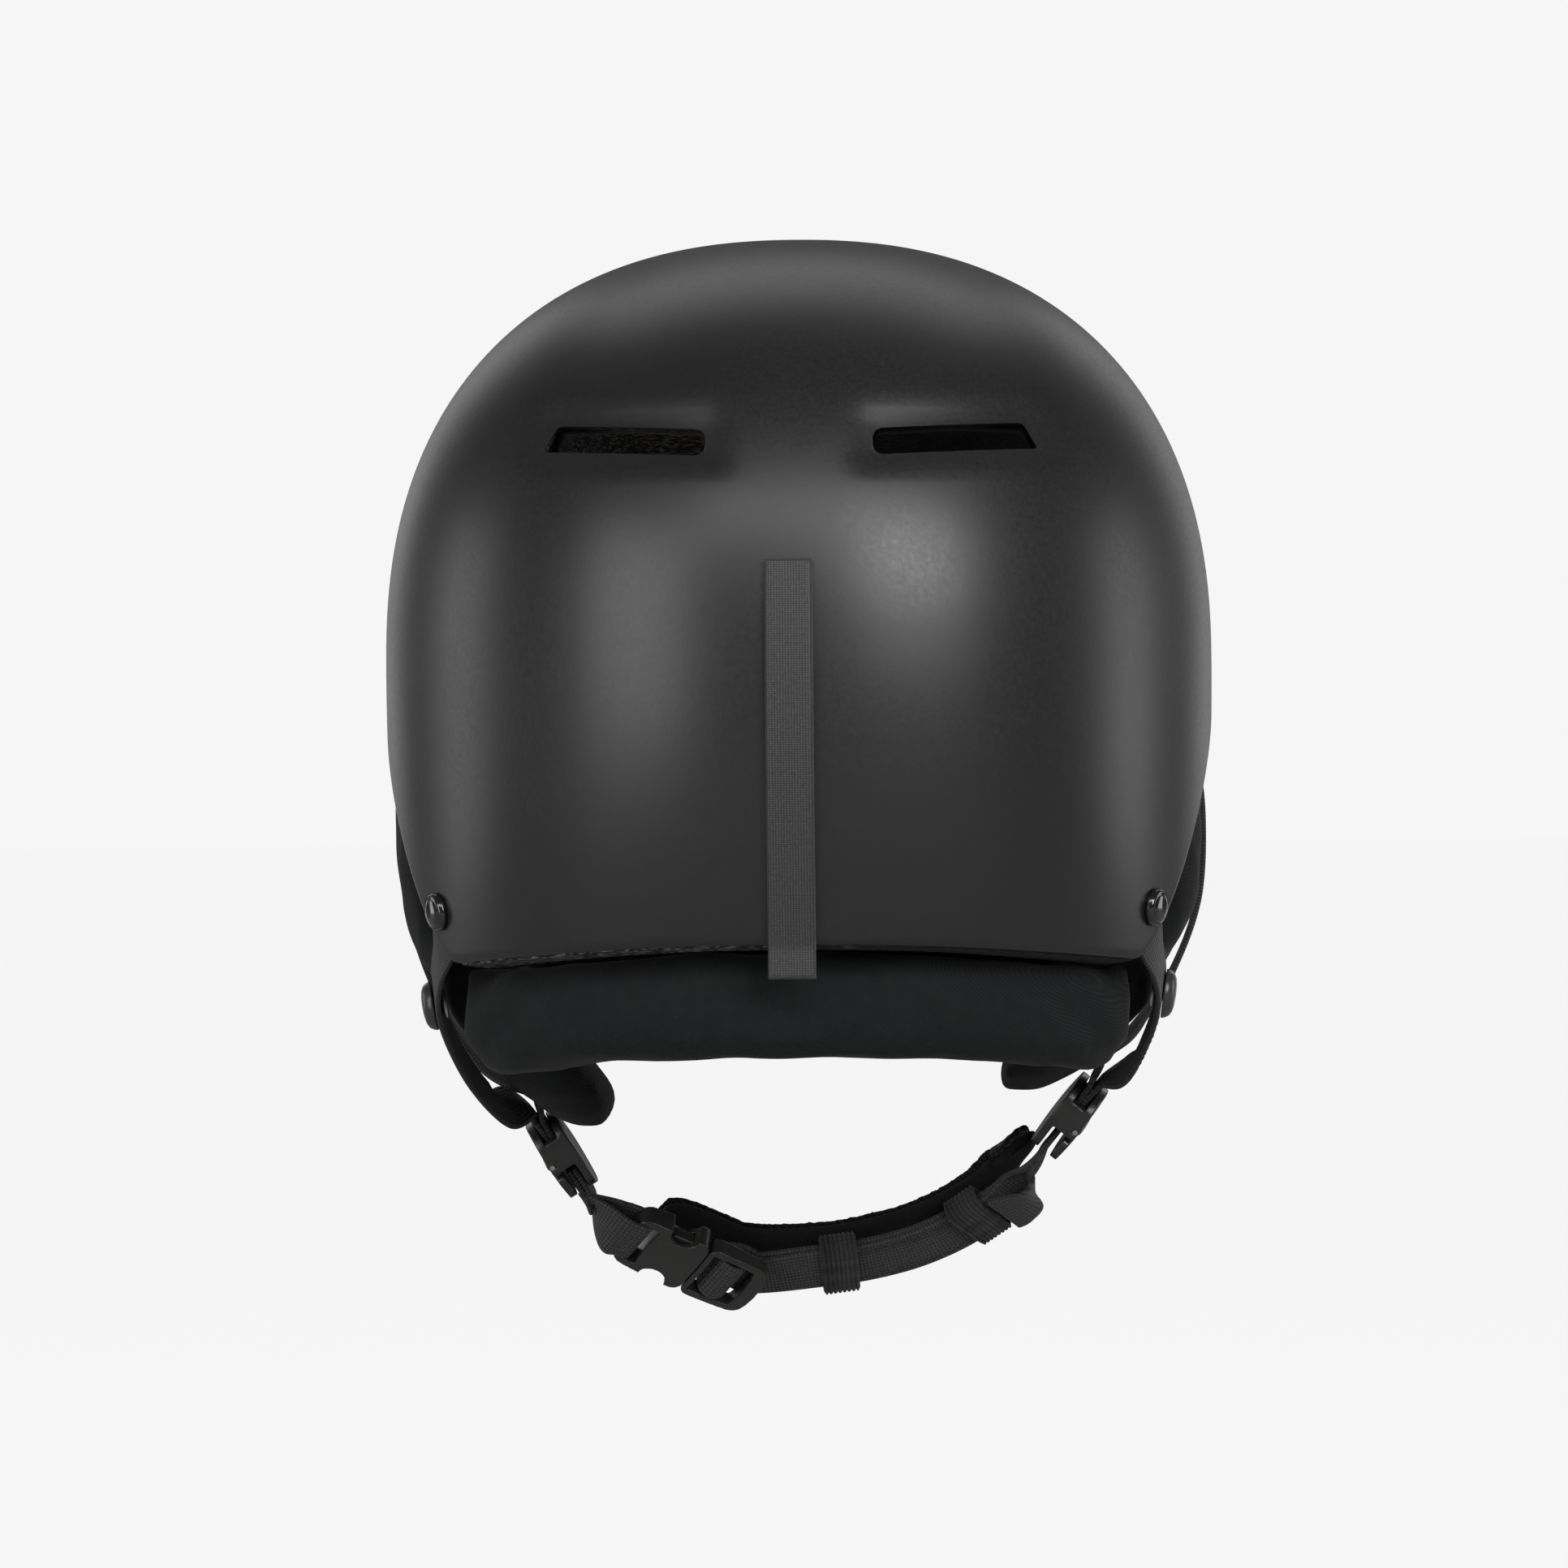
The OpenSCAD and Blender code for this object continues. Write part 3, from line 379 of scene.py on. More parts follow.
def moulded(name, dark, light, roughness, coat, grain=900.0, mottle=9.0, bump=0.05):
    """Moulded plastic: near-black, mottled faintly, with a fine grain in the gloss."""
    material, tree, skin = new_material(name)
    grainy = put(tree, "ShaderNodeGroup", {"Grain": grain, "Mottle": mottle}, node_tree=moulded_grain)
    colour = put(tree, "ShaderNodeMix", {0: grainy.outputs["Mask"], 6: (*dark, 1), 7: (*light, 1)},
                 data_type="RGBA")
    gloss = put(tree, "ShaderNodeMapRange", {0: grainy.outputs["Mask"], 1: 0.1, 2: 0.45,
                                             3: roughness - 0.05, 4: roughness + 0.07})
    relief = put(tree, "ShaderNodeBump", {"Height": grainy.outputs["Height"], "Strength": bump,
                                          "Distance": 0.0004})
    fill(tree, skin, {"Base Color": colour.outputs[2], "Roughness": gloss.outputs[0],
                      "Normal": relief.outputs[0], "Coat Weight": coat, "Coat Roughness": 0.3, "IOR": 1.5})
    return material


def dress(piece, material, body, replaced):
    """Gives a finished piece its material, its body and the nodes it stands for."""
    piece.data.materials.clear()
    piece.data.materials.append(material)
    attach(piece, body)
    if replaced:
        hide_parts(*replaced)
    return piece


satin_black = moulded("satin_black_shell", (0.0085, 0.0082, 0.0082), (0.017, 0.0162, 0.016), 0.4, 0.1)
shell = closed_skin("shell_moulding", rim_rings(0, shell_wall, 0, 288, 56, 44, hollow))
cut_slots(outward(shell), 40)
dress(shell, satin_black, "helmet", ["outer_shell"])


# ---- Foam liner ---------------------------------------------------------------------------
# Black bead foam, moulded to the shell, with four broad air channels down its inside. Its cut
# edge stands a little below the shell's at the rear, and is rough there, with pale streaks
# painted on as glints, mostly on the left.

foam_short, channel_x, channel_deep, channel_half = 1.5, 40, 3.5, 7


def channel(points):
    """How far each place on the inside is sunk, by its distance from a channel's middle."""
    x, z = points[..., 0], points[..., 2]
    across = np.minimum(np.abs(np.abs(x) - channel_x), np.abs(x) + 4)
    return -channel_deep * np.exp(-(across / channel_half) ** 4) * smooth((z + 30) / 30)


def foam_rings():
    """The liner's rings, with the channels sunk into those on the inside."""
    outside = shell_wall + skin_gap
    rings = np.asarray(rim_rings(outside, outside + foam_wall, foam_short, 240, 28, 24))
    inside = rings[rings.shape[0] // 2 + 4:]
    inside -= unit(inside) * channel(inside)[..., None]
    return rings


def bead_foam():
    """Expanded foam: beads a few millimetres across, with pale streaks painted on as glints, mostly on the
    left.
    """
    material, tree, skin = new_material("bead_foam")
    place = put(tree, "ShaderNodeTexCoord")
    beads = put(tree, "ShaderNodeTexVoronoi", {"Vector": place.outputs["Object"], "Scale": 380.0})
    drawn = put(tree, "ShaderNodeMapping", {"Vector": place.outputs["Object"], "Scale": (0.2, 0.2, 1.0)})
    # The noise below makes pale streaks painted into the colour as glints, not a real grey edge.
    glint_streak_noise = put(tree, "ShaderNodeTexNoise", {"Vector": drawn.outputs[0], "Scale": 2300.0, "Detail": 4.0})
    ramp = put(tree, "ShaderNodeMapRange", {0: glint_streak_noise.outputs["Fac"], 1: 0.48, 2: 0.64, 3: 0.0, 4: 1.0})
    # The painted glint streaks are full on the left half and faint on the right.
    parts = put(tree, "ShaderNodeSeparateXYZ", {0: place.outputs["Object"]})
    side = put(tree, "ShaderNodeMapRange", {0: parts.outputs[0], 1: 0.03, 2: -0.035, 3: 0.08, 4: 1.0})
    painted_glint_streaks = put(tree, "ShaderNodeMath", {0: ramp.outputs[0], 1: side.outputs[0]}, operation="MULTIPLY")
    colour = put(tree, "ShaderNodeMix", {0: painted_glint_streaks.outputs[0], 6: (0.005, 0.005, 0.005, 1),
                                         7: (0.2, 0.175, 0.155, 1)}, data_type="RGBA")
    relief = put(tree, "ShaderNodeBump", {"Height": beads.outputs["Distance"], "Strength": 0.5,
                                          "Distance": 0.0006})
    fill(tree, skin, {"Base Color": colour.outputs[2], "Normal": relief.outputs[0], "Roughness": 0.85})
    return material


liner = closed_skin("foam_liner", foam_rings())
cut_slots(outward(liner), 40)
dress(liner, bead_foam(), "helmet", ["eps_liner"])


# ---- Neck roll ----------------------------------------------------------------------------
# The neck roll under the rear rim is foam in a black brushed twill, stuffed and sewn along its
# top to a strip of the same cloth, which is glued up inside the liner.

roll_reach, roll_under, roll_set = 61.0, 0.8, 3.7
roll_h, roll_d, cover_slack = 13.5, 11.5, 0.3
flange_reach, flange_in, flange_t = 63.5, 27.0, 0.9


def twill_group():
    """Diagonal twill lines with a soft nap, in the piece's own space."""
    tree, given = effect_group("twill", ("Lines", "Nap"))
    place = put(tree, "ShaderNodeTexCoord")
    skewed = put(tree, "ShaderNodeMapping", {"Vector": place.outputs["Object"],
                                             "Rotation": (0.0, math.radians(38), math.radians(25))})
    lines = put(tree, "ShaderNodeTexWave", {"Vector": skewed.outputs[0], "Scale": given.outputs[0],
                                            "Distortion": 0.6, "Detail": 1.0, "Detail Scale": 3.0})
    crossed = put(tree, "ShaderNodeTexWave", {"Vector": place.outputs["Object"], "Scale": given.outputs[0],
                                              "Distortion": 0.4}, bands_direction="Z")
    nap = put(tree, "ShaderNodeTexNoise", {"Vector": place.outputs["Object"], "Scale": given.outputs[1],
                                           "Detail": 4.0})
    weave = put(tree, "ShaderNodeMath", {0: crossed.outputs["Fac"], 1: 0.25, 2: 0.75},
                operation="MULTIPLY_ADD")
    body = put(tree, "ShaderNodeMath", {0: lines.outputs["Fac"], 1: weave.outputs[0]}, operation="MULTIPLY")
    mask = put(tree, "ShaderNodeMath", {0: body.outputs[0], 1: nap.outputs["Fac"]}, operation="MULTIPLY")
    put(tree, "NodeGroupOutput", {"Mask": mask.outputs[0], "Height": body.outputs[0]})
    return tree


twill = twill_group()


def cloth(name, dark, light, lines, nap, bump, sheen=0.25, roughness=0.9):
    """Twilled or brushed cloth, between two near-black tones."""
    material, tree, skin = new_material(name)
    woven = put(tree, "ShaderNodeGroup", {"Lines": lines, "Nap": nap}, node_tree=twill)
    spread = put(tree, "ShaderNodeMapRange", {0: woven.outputs["Mask"], 1: 0.05, 2: 0.6, 3: 0.0, 4: 1.0})
    colour = put(tree, "ShaderNodeMix", {0: spread.outputs[0], 6: (*dark, 1), 7: (*light, 1)},
                 data_type="RGBA")
    relief = put(tree, "ShaderNodeBump", {"Height": woven.outputs["Height"], "Strength": bump,
                                          "Distance": 0.0003})
    fill(tree, skin, {"Base Color": colour.outputs[2], "Normal": relief.outputs[0],
                      "Roughness": roughness, "Sheen Weight": sheen, "Sheen Roughness": 0.4,
                      "Specular IOR Level": 0.25})
    return material


def read_rows(piece, what="co"):
    """A mesh's places, or its normals, as rows of three."""
    values = np.zeros(len(piece.data.vertices) * 3)
    piece.data.vertices.foreach_get(what, values)
    return values.reshape(-1, 3)


def write_rows(piece, places):
    piece.data.vertices.foreach_set("co", places.ravel())


def finer_mesh(piece):
    """One level of subdivision, smooth-shaded."""
    finer = piece.modifiers.new("finer", "SUBSURF")
    finer.levels = finer.render_levels = 1
    shade_smooth(baked(piece).data)


def stuffed(piece, limit, voxel, pressure=4.0, swell_steps=20):
    """Swells a slightly slack cover with cloth simulation, each point held within a limit."""
    remesh = piece.modifiers.new("even", "REMESH")
    remesh.mode = "VOXEL"
    remesh.voxel_size = voxel * MM
    baked(piece)
    start = read_rows(piece)
    cover = piece.modifiers.new("cover", "CLOTH")
    cover.settings.use_pressure = True
    cover.settings.uniform_pressure_force = pressure
    cover.settings.effector_weights.gravity = 0
    cover.settings.tension_stiffness = 12
    cover.settings.compression_stiffness = 12
    cover.settings.shrink_min = -0.04
    cover.point_cache.frame_start = 1
    cover.point_cache.frame_end = swell_steps
    for step in range(1, swell_steps + 1):
        bpy.context.scene.frame_set(step)
    baked(piece)
    bpy.context.scene.frame_set(1)
    move = read_rows(piece) - start
    length = np.linalg.norm(move, axis=1, keepdims=True)
    write_rows(piece, start + move * np.minimum(1, limit * MM / np.maximum(length, 1e-9)))
    finer_mesh(piece)


def shift_points(piece, rule):
    """Moves each point along its own normal by rule(places in millimetres)."""
    places = read_rows(piece) / MM
    places += read_rows(piece, "normal") * rule(places)[:, None]
    write_rows(piece, places * MM)
    piece.data.update()


def rough(places, scale, offset=(0, 0, 0)):
    """Smooth random values at places in millimetres."""
    return np.array([noise.noise(Vector(p * scale + offset)) for p in places])


def ring_of(centre, wide, deep, half_w, half_t, count=28, fullness=2.8):
    turn = -np.radians(np.arange(count) * 360 / count)
    return (np.asarray(centre) + np.outer(power(np.cos(turn), 2 / fullness) * half_w, wide)
            + np.outer(power(np.sin(turn), 2 / fullness) * half_t, deep))


def fullness_at(share, end):
    """How full a pad is along its length: it closes over a share of it at each end."""
    return (1 - (1 - min(min(share, 1 - share) / end, 1)) ** 2.5) ** 0.45


def neck_rings(steps=64):
    rings = []
    for i in range(1, steps):
        share = i / steps
        angle = mix(-roll_reach, roll_reach, share)
        full = fullness_at(share, 0.06)
        z = float(rim_z(angle)) - foam_short - roll_under - roll_h
        out = shell_point(angle, z)
        inward = -unit(np.array([out[0], out[1], 0]))
        centre = out + inward * (roll_set + roll_d)
        rings.append(ring_of(centre, [0, 0, 1], inward, (roll_h - cover_slack) * full,
                             (roll_d - cover_slack) * full))
    return rings


def creases(places):
    """Shallow folds near the ends of the roll, where it bends round."""
    x, z = places[:, 0], places[:, 2]
    near_end = smooth((np.abs(x) - 52) / 26)
    fold = np.sin(np.abs(x) * 0.42 + z * 0.35) * 0.7 + np.sin(np.abs(x) * 0.21 - z * 0.3) * 0.7
    ripple = rough(places, np.array([0.06, 0.06, 0.09]))
    return near_end * fold * 0.6 + ripple * 0.9


def flange_rings():
    """The strip of cloth sewn along the top of the roll, glued up inside the liner."""
    rings = []
    for angle in np.linspace(-flange_reach, flange_reach, 90):
        levels = float(rim_z(angle)) + np.array([7, 3, -1, -5, -9])
        rings.append(np.concatenate([shell_point(angle, levels, flange_in),
                                     shell_point(angle, levels[::-1], flange_in + flange_t)]))
    return rings


twill_black = cloth("black_twill", (0.0035, 0.0045, 0.005), (0.0105, 0.012, 0.0125), 600.0, 260.0,
                    0.35, 0.06)
roll = closed_skin("neck_roll_cover", neck_rings())
stuffed(outward(roll), 1.2, 4.0)
shift_points(roll, creases)
flange = outward(closed_skin("neck_roll_flange", flange_rings()))
dress(roll, twill_black, "helmet", ["neck_roll"])
dress(flange, twill_black, "helmet", [])


# ---- Ear pads -----------------------------------------------------------------------------
# Each ear pad is a soft shaped lobe of foam under a brushed cover, sewn round its edge and
# fixed to the foam above the ear. It fills the cut in the shell and narrows towards the chin.

ear_rows = [(0, 101, 0.5, 0, 40), (0.04, 104.5, 0.75, -8, 45), (0.11, 106.3, 0.95, -24, 47),
            (0.22, 106.6, 1, -38, 46), (0.35, 105.8, 1, -45, 43), (0.48, 104.4, 1, -46, 38),
            (0.6, 100, 1, -43, 33), (0.73, 91.8, 1, -36, 29), (0.84, 82, 1, -27, 26),
            (0.92, 73.8, 0.95, -18, 23), (0.98, 66.5, 0.7, -10, 20), (1, 61.5, 0.35, -3, 16)]


ear_top, ear_thick, ear_gap, ear_round = -12, 24.4, 0.3, 2.8


def cut_angle(z):
    """The angle at which the shell's side cut passes a height."""
    share = np.clip((z + skirt_h) / (skirt_h - 9), 0, 1)
    return 54 + 42 * (0.5 - np.sin(np.arcsin(1 - 2 * share) / 3)) ** 1.25


def ear_rings(low, hand, fuller, count=36):
    """Rings of one pad from top to tip; fuller swells it outwards beside the roll's end."""
    turn = np.radians(np.arange(count) * 360 / count)
    rings = []
    for share, out, thick, rear, front in ear_rows:
        z = mix(ear_top, low, share)
        out += fuller * float(smooth((share - 0.6) / 0.2) * (1 - smooth((share - 0.9) / 0.12)))
        t = ear_thick * thick
        x = out - ear_gap - t / 2 + t / 2 * power(np.cos(turn), 2 / ear_round)
        y = (rear + front) / 2 + (front - rear) / 2 * power(np.sin(turn), 2 / ear_round)
        if z > -skirt_h * 0.9:
            beside = shell_point(cut_angle(z + 2.25), z, shell_w / 2 - x)[..., 1] + 1.7
            y = np.maximum(y, beside)
        rings.append(np.stack([hand * x, y, np.full(count, z)], -1))
    return rings


def ear_folds(places):
    """Soft ripples, and the sewn line sunk round the pad near its outer face."""
    ripple = rough(places, np.array([0.05, 0.05, 0.07]), np.array([0, 0, 9]))
    welt = -1.0 * np.exp(-((np.abs(places[:, 0]) - 97 + (places[:, 2] + 60) * 0.02) / 1.1) ** 2)
    return ripple * 1.3 + welt * 0.8


brushed_black = cloth("brushed_black", (0.003, 0.0035, 0.004), (0.009, 0.0102, 0.0108), 560.0, 420.0,
                      0.3, 0.05)
for name, hand, low, fuller in (("left", -1, -121.5, 0.6), ("right", 1, -113, 4.0)):
    pad = closed_skin(f"ear_pad_cover_{name}", ear_rings(low, hand, fuller))
    stuffed(outward(pad), 1.5, 4.5)
    shift_points(pad, ear_folds)
    dress(pad, brushed_black, "helmet", [f"ear_pad_{name}"])


# ---- Comfort pads -------------------------------------------------------------------------
# Thin foam pads in wicking mesh cloth are stuck inside the liner at crown, brow, back and
# sides. Each is welded flat round its edge and quilted in soft cells.

pad_in, pad_deep = 27.2, 6.2


def quilt(u, v, cells_u, cells_v):
    return np.abs(np.sin(np.pi * u * cells_u)) ** 0.35 * np.abs(np.sin(np.pi * v * cells_v)) ** 0.35


def band_piece(name, start, end, low, high, cells):
    across, along = 30, 90
    v = np.linspace(0, 1, across)
    rings = []
    for i in range(along + 1):
        u = i / along
        edge = fullness_at(min(max(u, 0.002), 0.998), 0.05)
        angle = mix(start, end, u)
        rise = mix(high, low, v)
        lip = np.array([fullness_at(min(max(s, 0.004), 0.996), 0.14) for s in v])
        depth = pad_deep * (0.35 + 0.65 * edge * lip * (0.72 + 0.28 * quilt(u, v, cells, 2)))
        back = shell_point(angle, rise, pad_in)
        front = shell_point(angle, rise, pad_in + depth * min(1, edge + 0.15))
        rings.append(np.concatenate([back, front[::-1]]))
    return outward(closed_skin(name, rings))


def crown_piece(sectors=96, rows=40):
    angle = np.arange(sectors) * 360 / sectors
    rings = []
    for side in (0, 1):
        part = []
        for k in range(1, rows + 1):
            share = k / rows
            f = math.radians(mix(90, 52, share))
            puff = fullness_at(min(max(1 - share, 0.004) / 2, 0.5), 0.12)
            petals = np.abs(np.cos(np.radians(angle) * 3)) ** 0.3
            quilted = 0.7 + 0.3 * petals * abs(math.cos(share * math.pi * 2)) ** 0.3
            depth = pad_in + side * pad_deep * puff * quilted
            height = (crown_h - depth) * math.sin(f) ** (2 / dome_power)
            part.append(shell_point(angle, height, depth))
        rings += part if side == 0 else part[::-1]
    return outward(closed_skin("crown_pad_cover", rings))


mesh_cloth = cloth("wicking_mesh_cloth", (0.006, 0.0065, 0.007), (0.028, 0.029, 0.031), 500.0, 700.0,
                   0.7, 0.2)
comfort = [(crown_piece(), "crown_pad"),
           (band_piece("brow_pad_cover", 138, 222, -18, 16, 6), "brow_pad"),
           (band_piece("back_pad_cover", -40, 40, -58, -14, 6), "back_pad"),
           (band_piece("side_pad_cover_right", 62, 122, 4, 30, 4), "side_pad_right"),
           (band_piece("side_pad_cover_left", -62, -122, 4, 30, 4), "side_pad_left")]
for piece, node in comfort:
    dress(piece, mesh_cloth, "helmet", [node])


# ---- Rivets, washers and snaps ------------------------------------------------------------
# Each strap is held by a glossy black rivet through the shell, over a steel washer inside. A
# shallow ring runs round each head. The ear pads hang from a larger domed cap on each rear strap.

web_w, web_t, seat_gap = 15, 1.4, 0.3
strap_in = shell_wall + 0.8 + web_t / 2
rivet_spots = {"rear": (57.4, -0.8 * skirt_h, 1.1), "front": (110, 6, 0.05)}


def strap_point(angle, z, turn, along):
    """A place on a strap's end inside the shell, at a distance along it from its rivet."""
    slope = math.hypot(1, turn)
    b = angle + along * turn / slope / (shell_l * math.pi / 360)
    h = z - along / slope
    return shell_point(-b, h) - strap_in * shell_normal(-b, h)


def rivet_frame(angle, z, turn):
    """A rivet's place on the shell, and its three directions."""
    normal = shell_normal(-angle, z)
    along = strap_point(angle, z, turn, 1) - strap_point(angle, z, turn, -1)
    along = unit(along - along.dot(normal) * normal)
    return shell_point(-angle, z), along, np.cross(normal, along), normal


def turned(name, profile, origin, x_axis, y_axis, z_axis, count=48):
    """A turned part: (radius, height) points spun round an axis, from tip to base."""
    turn = np.radians(np.arange(count) * 360 / count)
    rings = []
    for radius, height in profile:
        rings.append(origin + np.outer(np.cos(turn) * radius, x_axis)
                     + np.outer(np.sin(turn) * radius, y_axis) + height * z_axis)
    return outward(closed_skin(name, rings))


def join(pieces, name):
    shape = bmesh.new()
    for piece in pieces:
        shape.from_mesh(piece.data)
        bpy.data.objects.remove(piece)
    mesh = bpy.data.meshes.new(name)
    shape.to_mesh(mesh)
    shape.free()
    shade_smooth(mesh)
    return placed(name, mesh)


flip_x = np.array([-1, 1, 1])


def mirrored(*vectors):
    return [vector * flip_x for vector in vectors]


head_profile = [(0.2, 2.75), (2.6, 2.6), (3.5, 2.35), (3.7, 2.1), (3.95, 2.1), (4.2, 2.25), (4.6, 1.75),
                (4.95, 1.0), (5.0, 0.35), (4.8, 0.1), (2.0, 0.1), (2.0, -2.9), (2.0, -7.0)]
heads = []
for spot in rivet_spots.values():
    for axes in (rivet_frame(*spot), mirrored(*rivet_frame(*spot))):
        heads.append(turned("head", head_profile, *axes))
gloss_black = moulded("gloss_black_rivet", (0.008, 0.008, 0.008), (0.016, 0.016, 0.016), 0.16, 0.6,
                      400.0, 30.0, 0.02)
gloss_black.node_tree.nodes["Principled BSDF"].inputs["Coat Roughness"].default_value = 0.08
dress(join(heads, "rivet_heads"), gloss_black, "helmet", ["strap_rivets"])


def bare_steel():
    """Bright steel, brushed fine."""
    material, tree, skin = new_material("bare_steel")
    place = put(tree, "ShaderNodeTexCoord")
    brush = put(tree, "ShaderNodeTexNoise", {"Vector": place.outputs["Object"], "Scale": 900.0,
                                             "Detail": 3.0})
    gloss = put(tree, "ShaderNodeMapRange", {0: brush.outputs["Fac"], 3: 0.25, 4: 0.45})
    tone = put(tree, "ShaderNodeMix", {0: brush.outputs["Fac"], 6: (0.32, 0.32, 0.31, 1),
                                       7: (0.62, 0.61, 0.6, 1)}, data_type="RGBA")
    fill(tree, skin, {"Roughness": gloss.outputs[0], "Base Color": tone.outputs[2], "Metallic": 1.0})
    return material


steel = bare_steel()
for node, finish in (("rivet_washers", steel), ("divider_pins", steel), ("goggle_snap_stud", steel),
                     ("goggle_snap_socket", steel), ("goggle_strap_anchor", gloss_black)):
    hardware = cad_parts[node].data.materials
    hardware.clear()
    hardware.append(finish)


# ---- Straps -------------------------------------------------------------------------------
# Fifteen millimetre black webbing runs from each rivet to a divider under the ear, one strap
# from the rear and one from the temple. It is woven in fine cross ribs with a firm edge.

def curve(points, steps):
    """A smooth curve through a list of points, with even steps between each two."""
    points = np.asarray(points, float)
    last = len(points) - 1
    result = []
    for i in range(last):
        a, b, c, d = (points[max(i - 1, 0)], points[i], points[i + 1], points[min(i + 2, last)])
        for k in range(steps):
            t = k / steps
            result.append(0.5 * (2 * b + (c - a) * t + (2 * a - 5 * b + 4 * c - d) * t * t
                                 + (3 * b - a - 3 * c + d) * t ** 3))
    result.append(points[-1])
    return np.asarray(result)


def headings(path):
    ahead = np.roll(path, -1, 0)
    behind = np.roll(path, 1, 0)
    ahead[-1] = path[-1]
    behind[0] = path[0]
    return unit(ahead - behind)


def square_to(wide, heading):
    wide = np.asarray(wide, float)
    heading = np.asarray(heading, float)
    return unit(wide - np.sum(wide * heading, -1, keepdims=True) * heading)


def band_profile(width, thick):
    """Half outline of flat webbing with round selvedges, as places across and through it."""
    across = np.linspace(-0.5, 0.5, 15) * (width - thick * 0.9)
    edge, near, low = width / 2, width / 2 - thick * 0.12, thick * 0.32
    top = [(s, thick / 2) for s in across]
    under = [(s, -thick / 2) for s in across[::-1]]
    return np.array(top + [(near, low), (edge, 0), (near, -low)]
                    + under + [(-near, -low), (-edge, 0), (-near, low)])


def run_of(path):
    """The distance along a path at each of its points."""
    return np.concatenate([[0], np.cumsum(np.linalg.norm(np.diff(path, axis=0), axis=1))])


def webbing(name, path, wides, width=web_w, thick=web_t, wave=None):
    """A woven band along a path, with its length and width in its UV map, in metres."""
    heading = headings(path)
    wide = square_to(wides, heading)
    through = np.cross(heading, wide)
    run = run_of(path)
    profile = band_profile(width, thick)
    rings, uv = [], []
    for i in range(len(path)):
        bulge = 0 if wave is None else wave(run[i])
        shape = profile.copy()
        shape[:, 1] *= 1 + bulge
        rings.append(path[i] + np.outer(shape[:, 0], wide[i]) + np.outer(shape[:, 1], through[i]))
        uv.append(np.stack([np.full(len(shape), run[i]) * MM, shape[:, 0] * MM], -1))
    return outward(closed_skin(name, rings, uv))


def weave_group():
    """Cross ribs and thin lengthwise threads of webbing, from the UV map in metres."""
    tree, given = effect_group("webbing_weave", ("Ribs", "Threads"))
    place = put(tree, "ShaderNodeUVMap", uv_map="UVMap")
    parts = put(tree, "ShaderNodeSeparateXYZ", {0: place.outputs[0]})
    waves = []
    for axis, count in ((0, given.outputs[0]), (1, given.outputs[1])):
        phase = put(tree, "ShaderNodeMath", {0: parts.outputs[axis], 1: count}, operation="MULTIPLY")
        wave = put(tree, "ShaderNodeMath", {0: phase.outputs[0]}, operation="SINE")
        waves.append(put(tree, "ShaderNodeMath", {0: wave.outputs[0], 1: 0.5, 2: 0.5},
                         operation="MULTIPLY_ADD").outputs[0])
    both = {0: waves[0], 1: waves[1]}
    crossings = put(tree, "ShaderNodeMath", both, operation="MULTIPLY")
    rises = put(tree, "ShaderNodeMath", both, operation="ADD")
    fuzz = put(tree, "ShaderNodeTexNoise", {"Vector": place.outputs[0], "Scale": 1400.0, "Detail": 3.0})
    mask = put(tree, "ShaderNodeMath", {0: rises.outputs[0], 1: fuzz.outputs["Fac"]}, operation="MULTIPLY")
    height = put(tree, "ShaderNodeMath", {0: crossings.outputs[0], 1: 0.7, 2: rises.outputs[0]},
                 operation="MULTIPLY_ADD")
    put(tree, "NodeGroupOutput", {"Mask": mask.outputs[0], "Height": height.outputs[0]})
    return tree


webbing_weave = weave_group()


def woven_band(name, dark, light, ribs, threads, bump, roughness=0.75, sheen=0.1):
    """Woven polyester or elastic, between two tones; ribs and threads are turns a metre."""
    material, tree, skin = new_material(name)
    weave = put(tree, "ShaderNodeGroup", {"Ribs": ribs, "Threads": threads}, node_tree=webbing_weave)
    spread = put(tree, "ShaderNodeMapRange", {0: weave.outputs["Mask"], 1: 0.1, 2: 1.1, 3: 0.0, 4: 1.0})
    colour = put(tree, "ShaderNodeMix", {0: spread.outputs[0], 6: (*dark, 1), 7: (*light, 1)},
                 data_type="RGBA")
    relief = put(tree, "ShaderNodeBump", {"Height": weave.outputs["Height"], "Strength": bump,
                                          "Distance": 0.00025})
    fill(tree, skin, {"Base Color": colour.outputs[2], "Normal": relief.outputs[0],
                      "Roughness": roughness, "Sheen Weight": sheen, "Specular IOR Level": 0.35})
    return material


divider_l = 23
divider_at = [np.array([-65.5, 17, -131]), np.array([-71.8, 17, -121.7])]
divider_dir = [unit([12.5, 7, -20]), unit([12, 7, -15.3])]
divider_wide = [square_to([0, 1, 0], d) for d in divider_dir]
divider_up = [np.cross(d, w) for d, w in zip(divider_dir, divider_wide)]
branch_lift = web_t / 2 + seat_gap / 2


def in_divider(side, along, up):
    return divider_at[side] + divider_dir[side] * along + divider_up[side] * up


routes = {
    "rear": ([[(-93.6, -55, -78), (-94.6, -41, -89), (-89.5, -21, -105), (-81.5, -3, -117)],
              [(-93.6, -55, -78), (-94.6, -41, -87), (-92.5, -22, -97), (-88.5, -5, -106.5)]],
             [(-0.1, 0.5, 0.85), (-0.15, 0.6, 0.8), (-0.2, 0.7, 0.7), (-0.2, 0.8, 0.5)], 8, -1),
    "front": ([[(-105.5, 51, -25), (-108.6, 46, -42), (-107.4, 36, -66), (-98, 27, -91), (-86.5, 19, -107)],
               [(-105.5, 51, -25), (-108.6, 46, -42), (-107.4, 36, -64), (-99.5, 26, -84), (-89.5, 19, -98)]],
              [(0.3, 1, 0), (0.1, 1, 0), (0, 1, 0), (0, 1, 0), (0, 1, 0.1)], 17, 1)}


